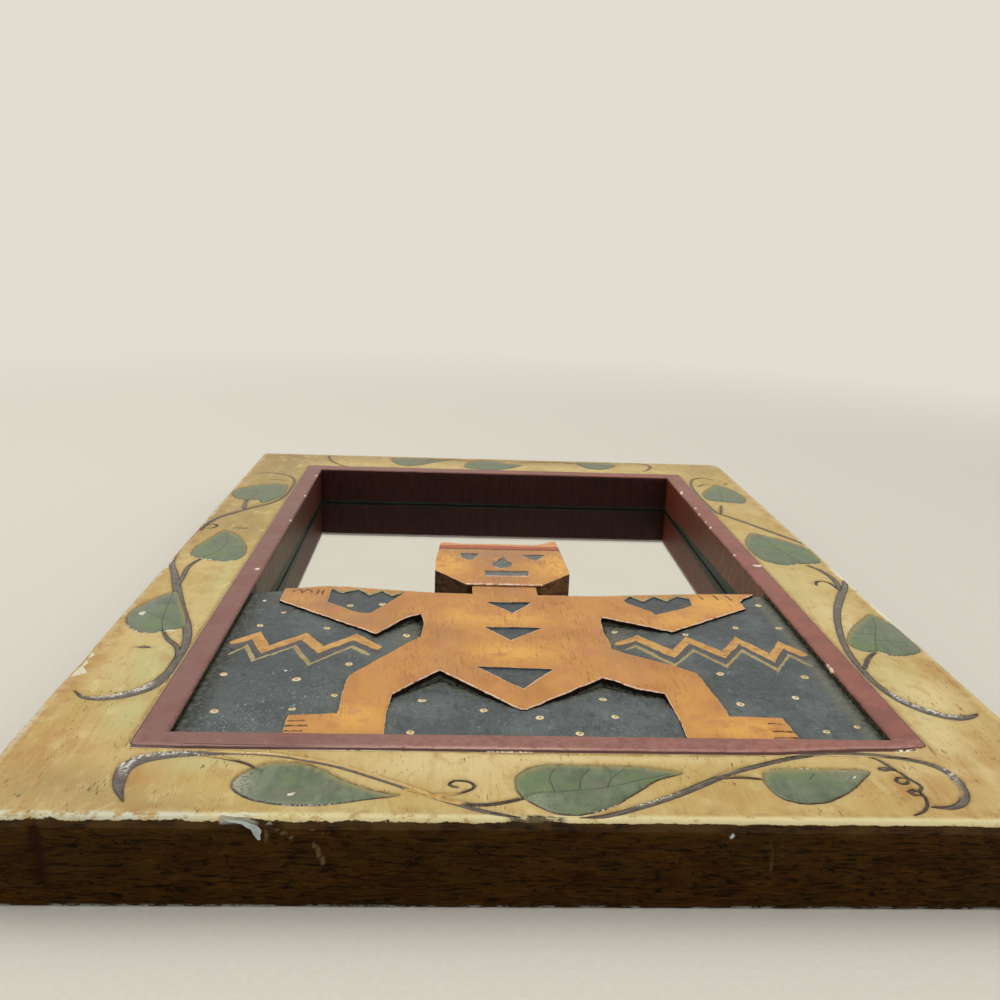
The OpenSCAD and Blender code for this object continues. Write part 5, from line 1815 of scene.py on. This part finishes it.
def seen_directly(tree):
    """1 for what is seen by the camera or in a reflection, 0 for light that falls on the part."""
    camera_ray, glossy, through = (node(tree, "LightPath", {}, "Is %s Ray" % kind)
                                   for kind in ("Camera", "Glossy", "Transmission"))
    return camera_ray.most(glossy).most(through)


def studio():
    world = bpy.data.worlds.new("studio")
    bpy.context.scene.world = world
    world.use_nodes = True
    tree = world.node_tree
    tree.nodes.clear()
    light = node(tree, "Background", {"Color": (1.0, 0.985, 0.95, 1), "Strength": 0.55})
    shown = node(tree, "Background", {"Color": BACKDROP})
    both = node(tree, "MixShader", {0: seen_directly(tree), 1: light, 2: shown})
    tree.links.new(both.socket, tree.nodes.new("ShaderNodeOutputWorld").inputs["Surface"])


def floor():
    """A pale floor that runs out into the backdrop's colour."""
    bm = bmesh.new()
    bmesh.ops.create_grid(bm, x_segments=1, y_segments=1, size=8.0)
    mesh = bpy.data.meshes.new("floor")
    bm.to_mesh(mesh)
    bm.free()
    p = Paint("floor_paper", (226, 222, 212))
    p.lay((222, 218, 208), p.noise(2.0, detail=3).step(0.3, 0.7))
    mesh.materials.append(p.finish(0.9, specular=0.1))
    out = node(p.tree, "VectorMath", {0: p.coords}, "Value", operation="LENGTH")
    far = out.step(0.45, 1.3) * seen_directly(p.tree)
    plain_light = node(p.tree, "Emission", {"Color": BACKDROP})
    both = node(p.tree, "MixShader", {0: far, 1: p.shader, 2: plain_light})
    p.tree.links.new(both.socket, p.surface)
    obj = bpy.data.objects.new("floor", mesh)
    bpy.context.scene.collection.objects.link(obj)


def lamp(name, place, size, power, colour):
    """A soft lamp that points at the middle of the part."""
    data = bpy.data.lights.new(name, "AREA")
    data.shape = "RECTANGLE"
    data.size, data.size_y = size
    data.energy = power
    data.color = colour
    obj = bpy.data.objects.new(name, data)
    bpy.context.scene.collection.objects.link(obj)
    obj.location = place
    obj.rotation_euler = (-Vector(place)).to_track_quat("-Z", "Y").to_euler()


def camera():
    data = bpy.data.cameras.new("camera")
    data.lens = LENS
    data.sensor_width = 36.0
    data.clip_start = 0.01
    obj = bpy.data.objects.new("camera", data)
    bpy.context.scene.collection.objects.link(obj)
    pitch, yaw, roll = (math.radians(a) for a in (PITCH, YAW, ROLL))
    ahead = Vector((math.sin(yaw), math.cos(yaw), 0))
    forward = ahead * math.cos(pitch) - Vector((0, 0, math.sin(pitch)))
    right = Vector((math.cos(yaw), -math.sin(yaw), 0))
    up = right.cross(forward)
    right_rolled = math.cos(roll) * right + math.sin(roll) * up
    up_rolled = -math.sin(roll) * right + math.cos(roll) * up
    turn = Matrix((right_rolled, up_rolled, -forward)).transposed()
    obj.matrix_world = Matrix.Translation(CAMERA * MM) @ turn.to_4x4()
    bpy.context.scene.camera = obj


studio()
floor()
lamp("key", (-0.5, 0.35, 1.5), (1.2, 1.2), 11.0, (1.0, 0.97, 0.92))
lamp("front", (0.5, -1.3, 1.0), (1.0, 0.8), 4.0, (1.0, 0.98, 0.95))
camera()
bpy.context.scene.view_settings.view_transform = "Standard"

bpy.context.view_layer.update()
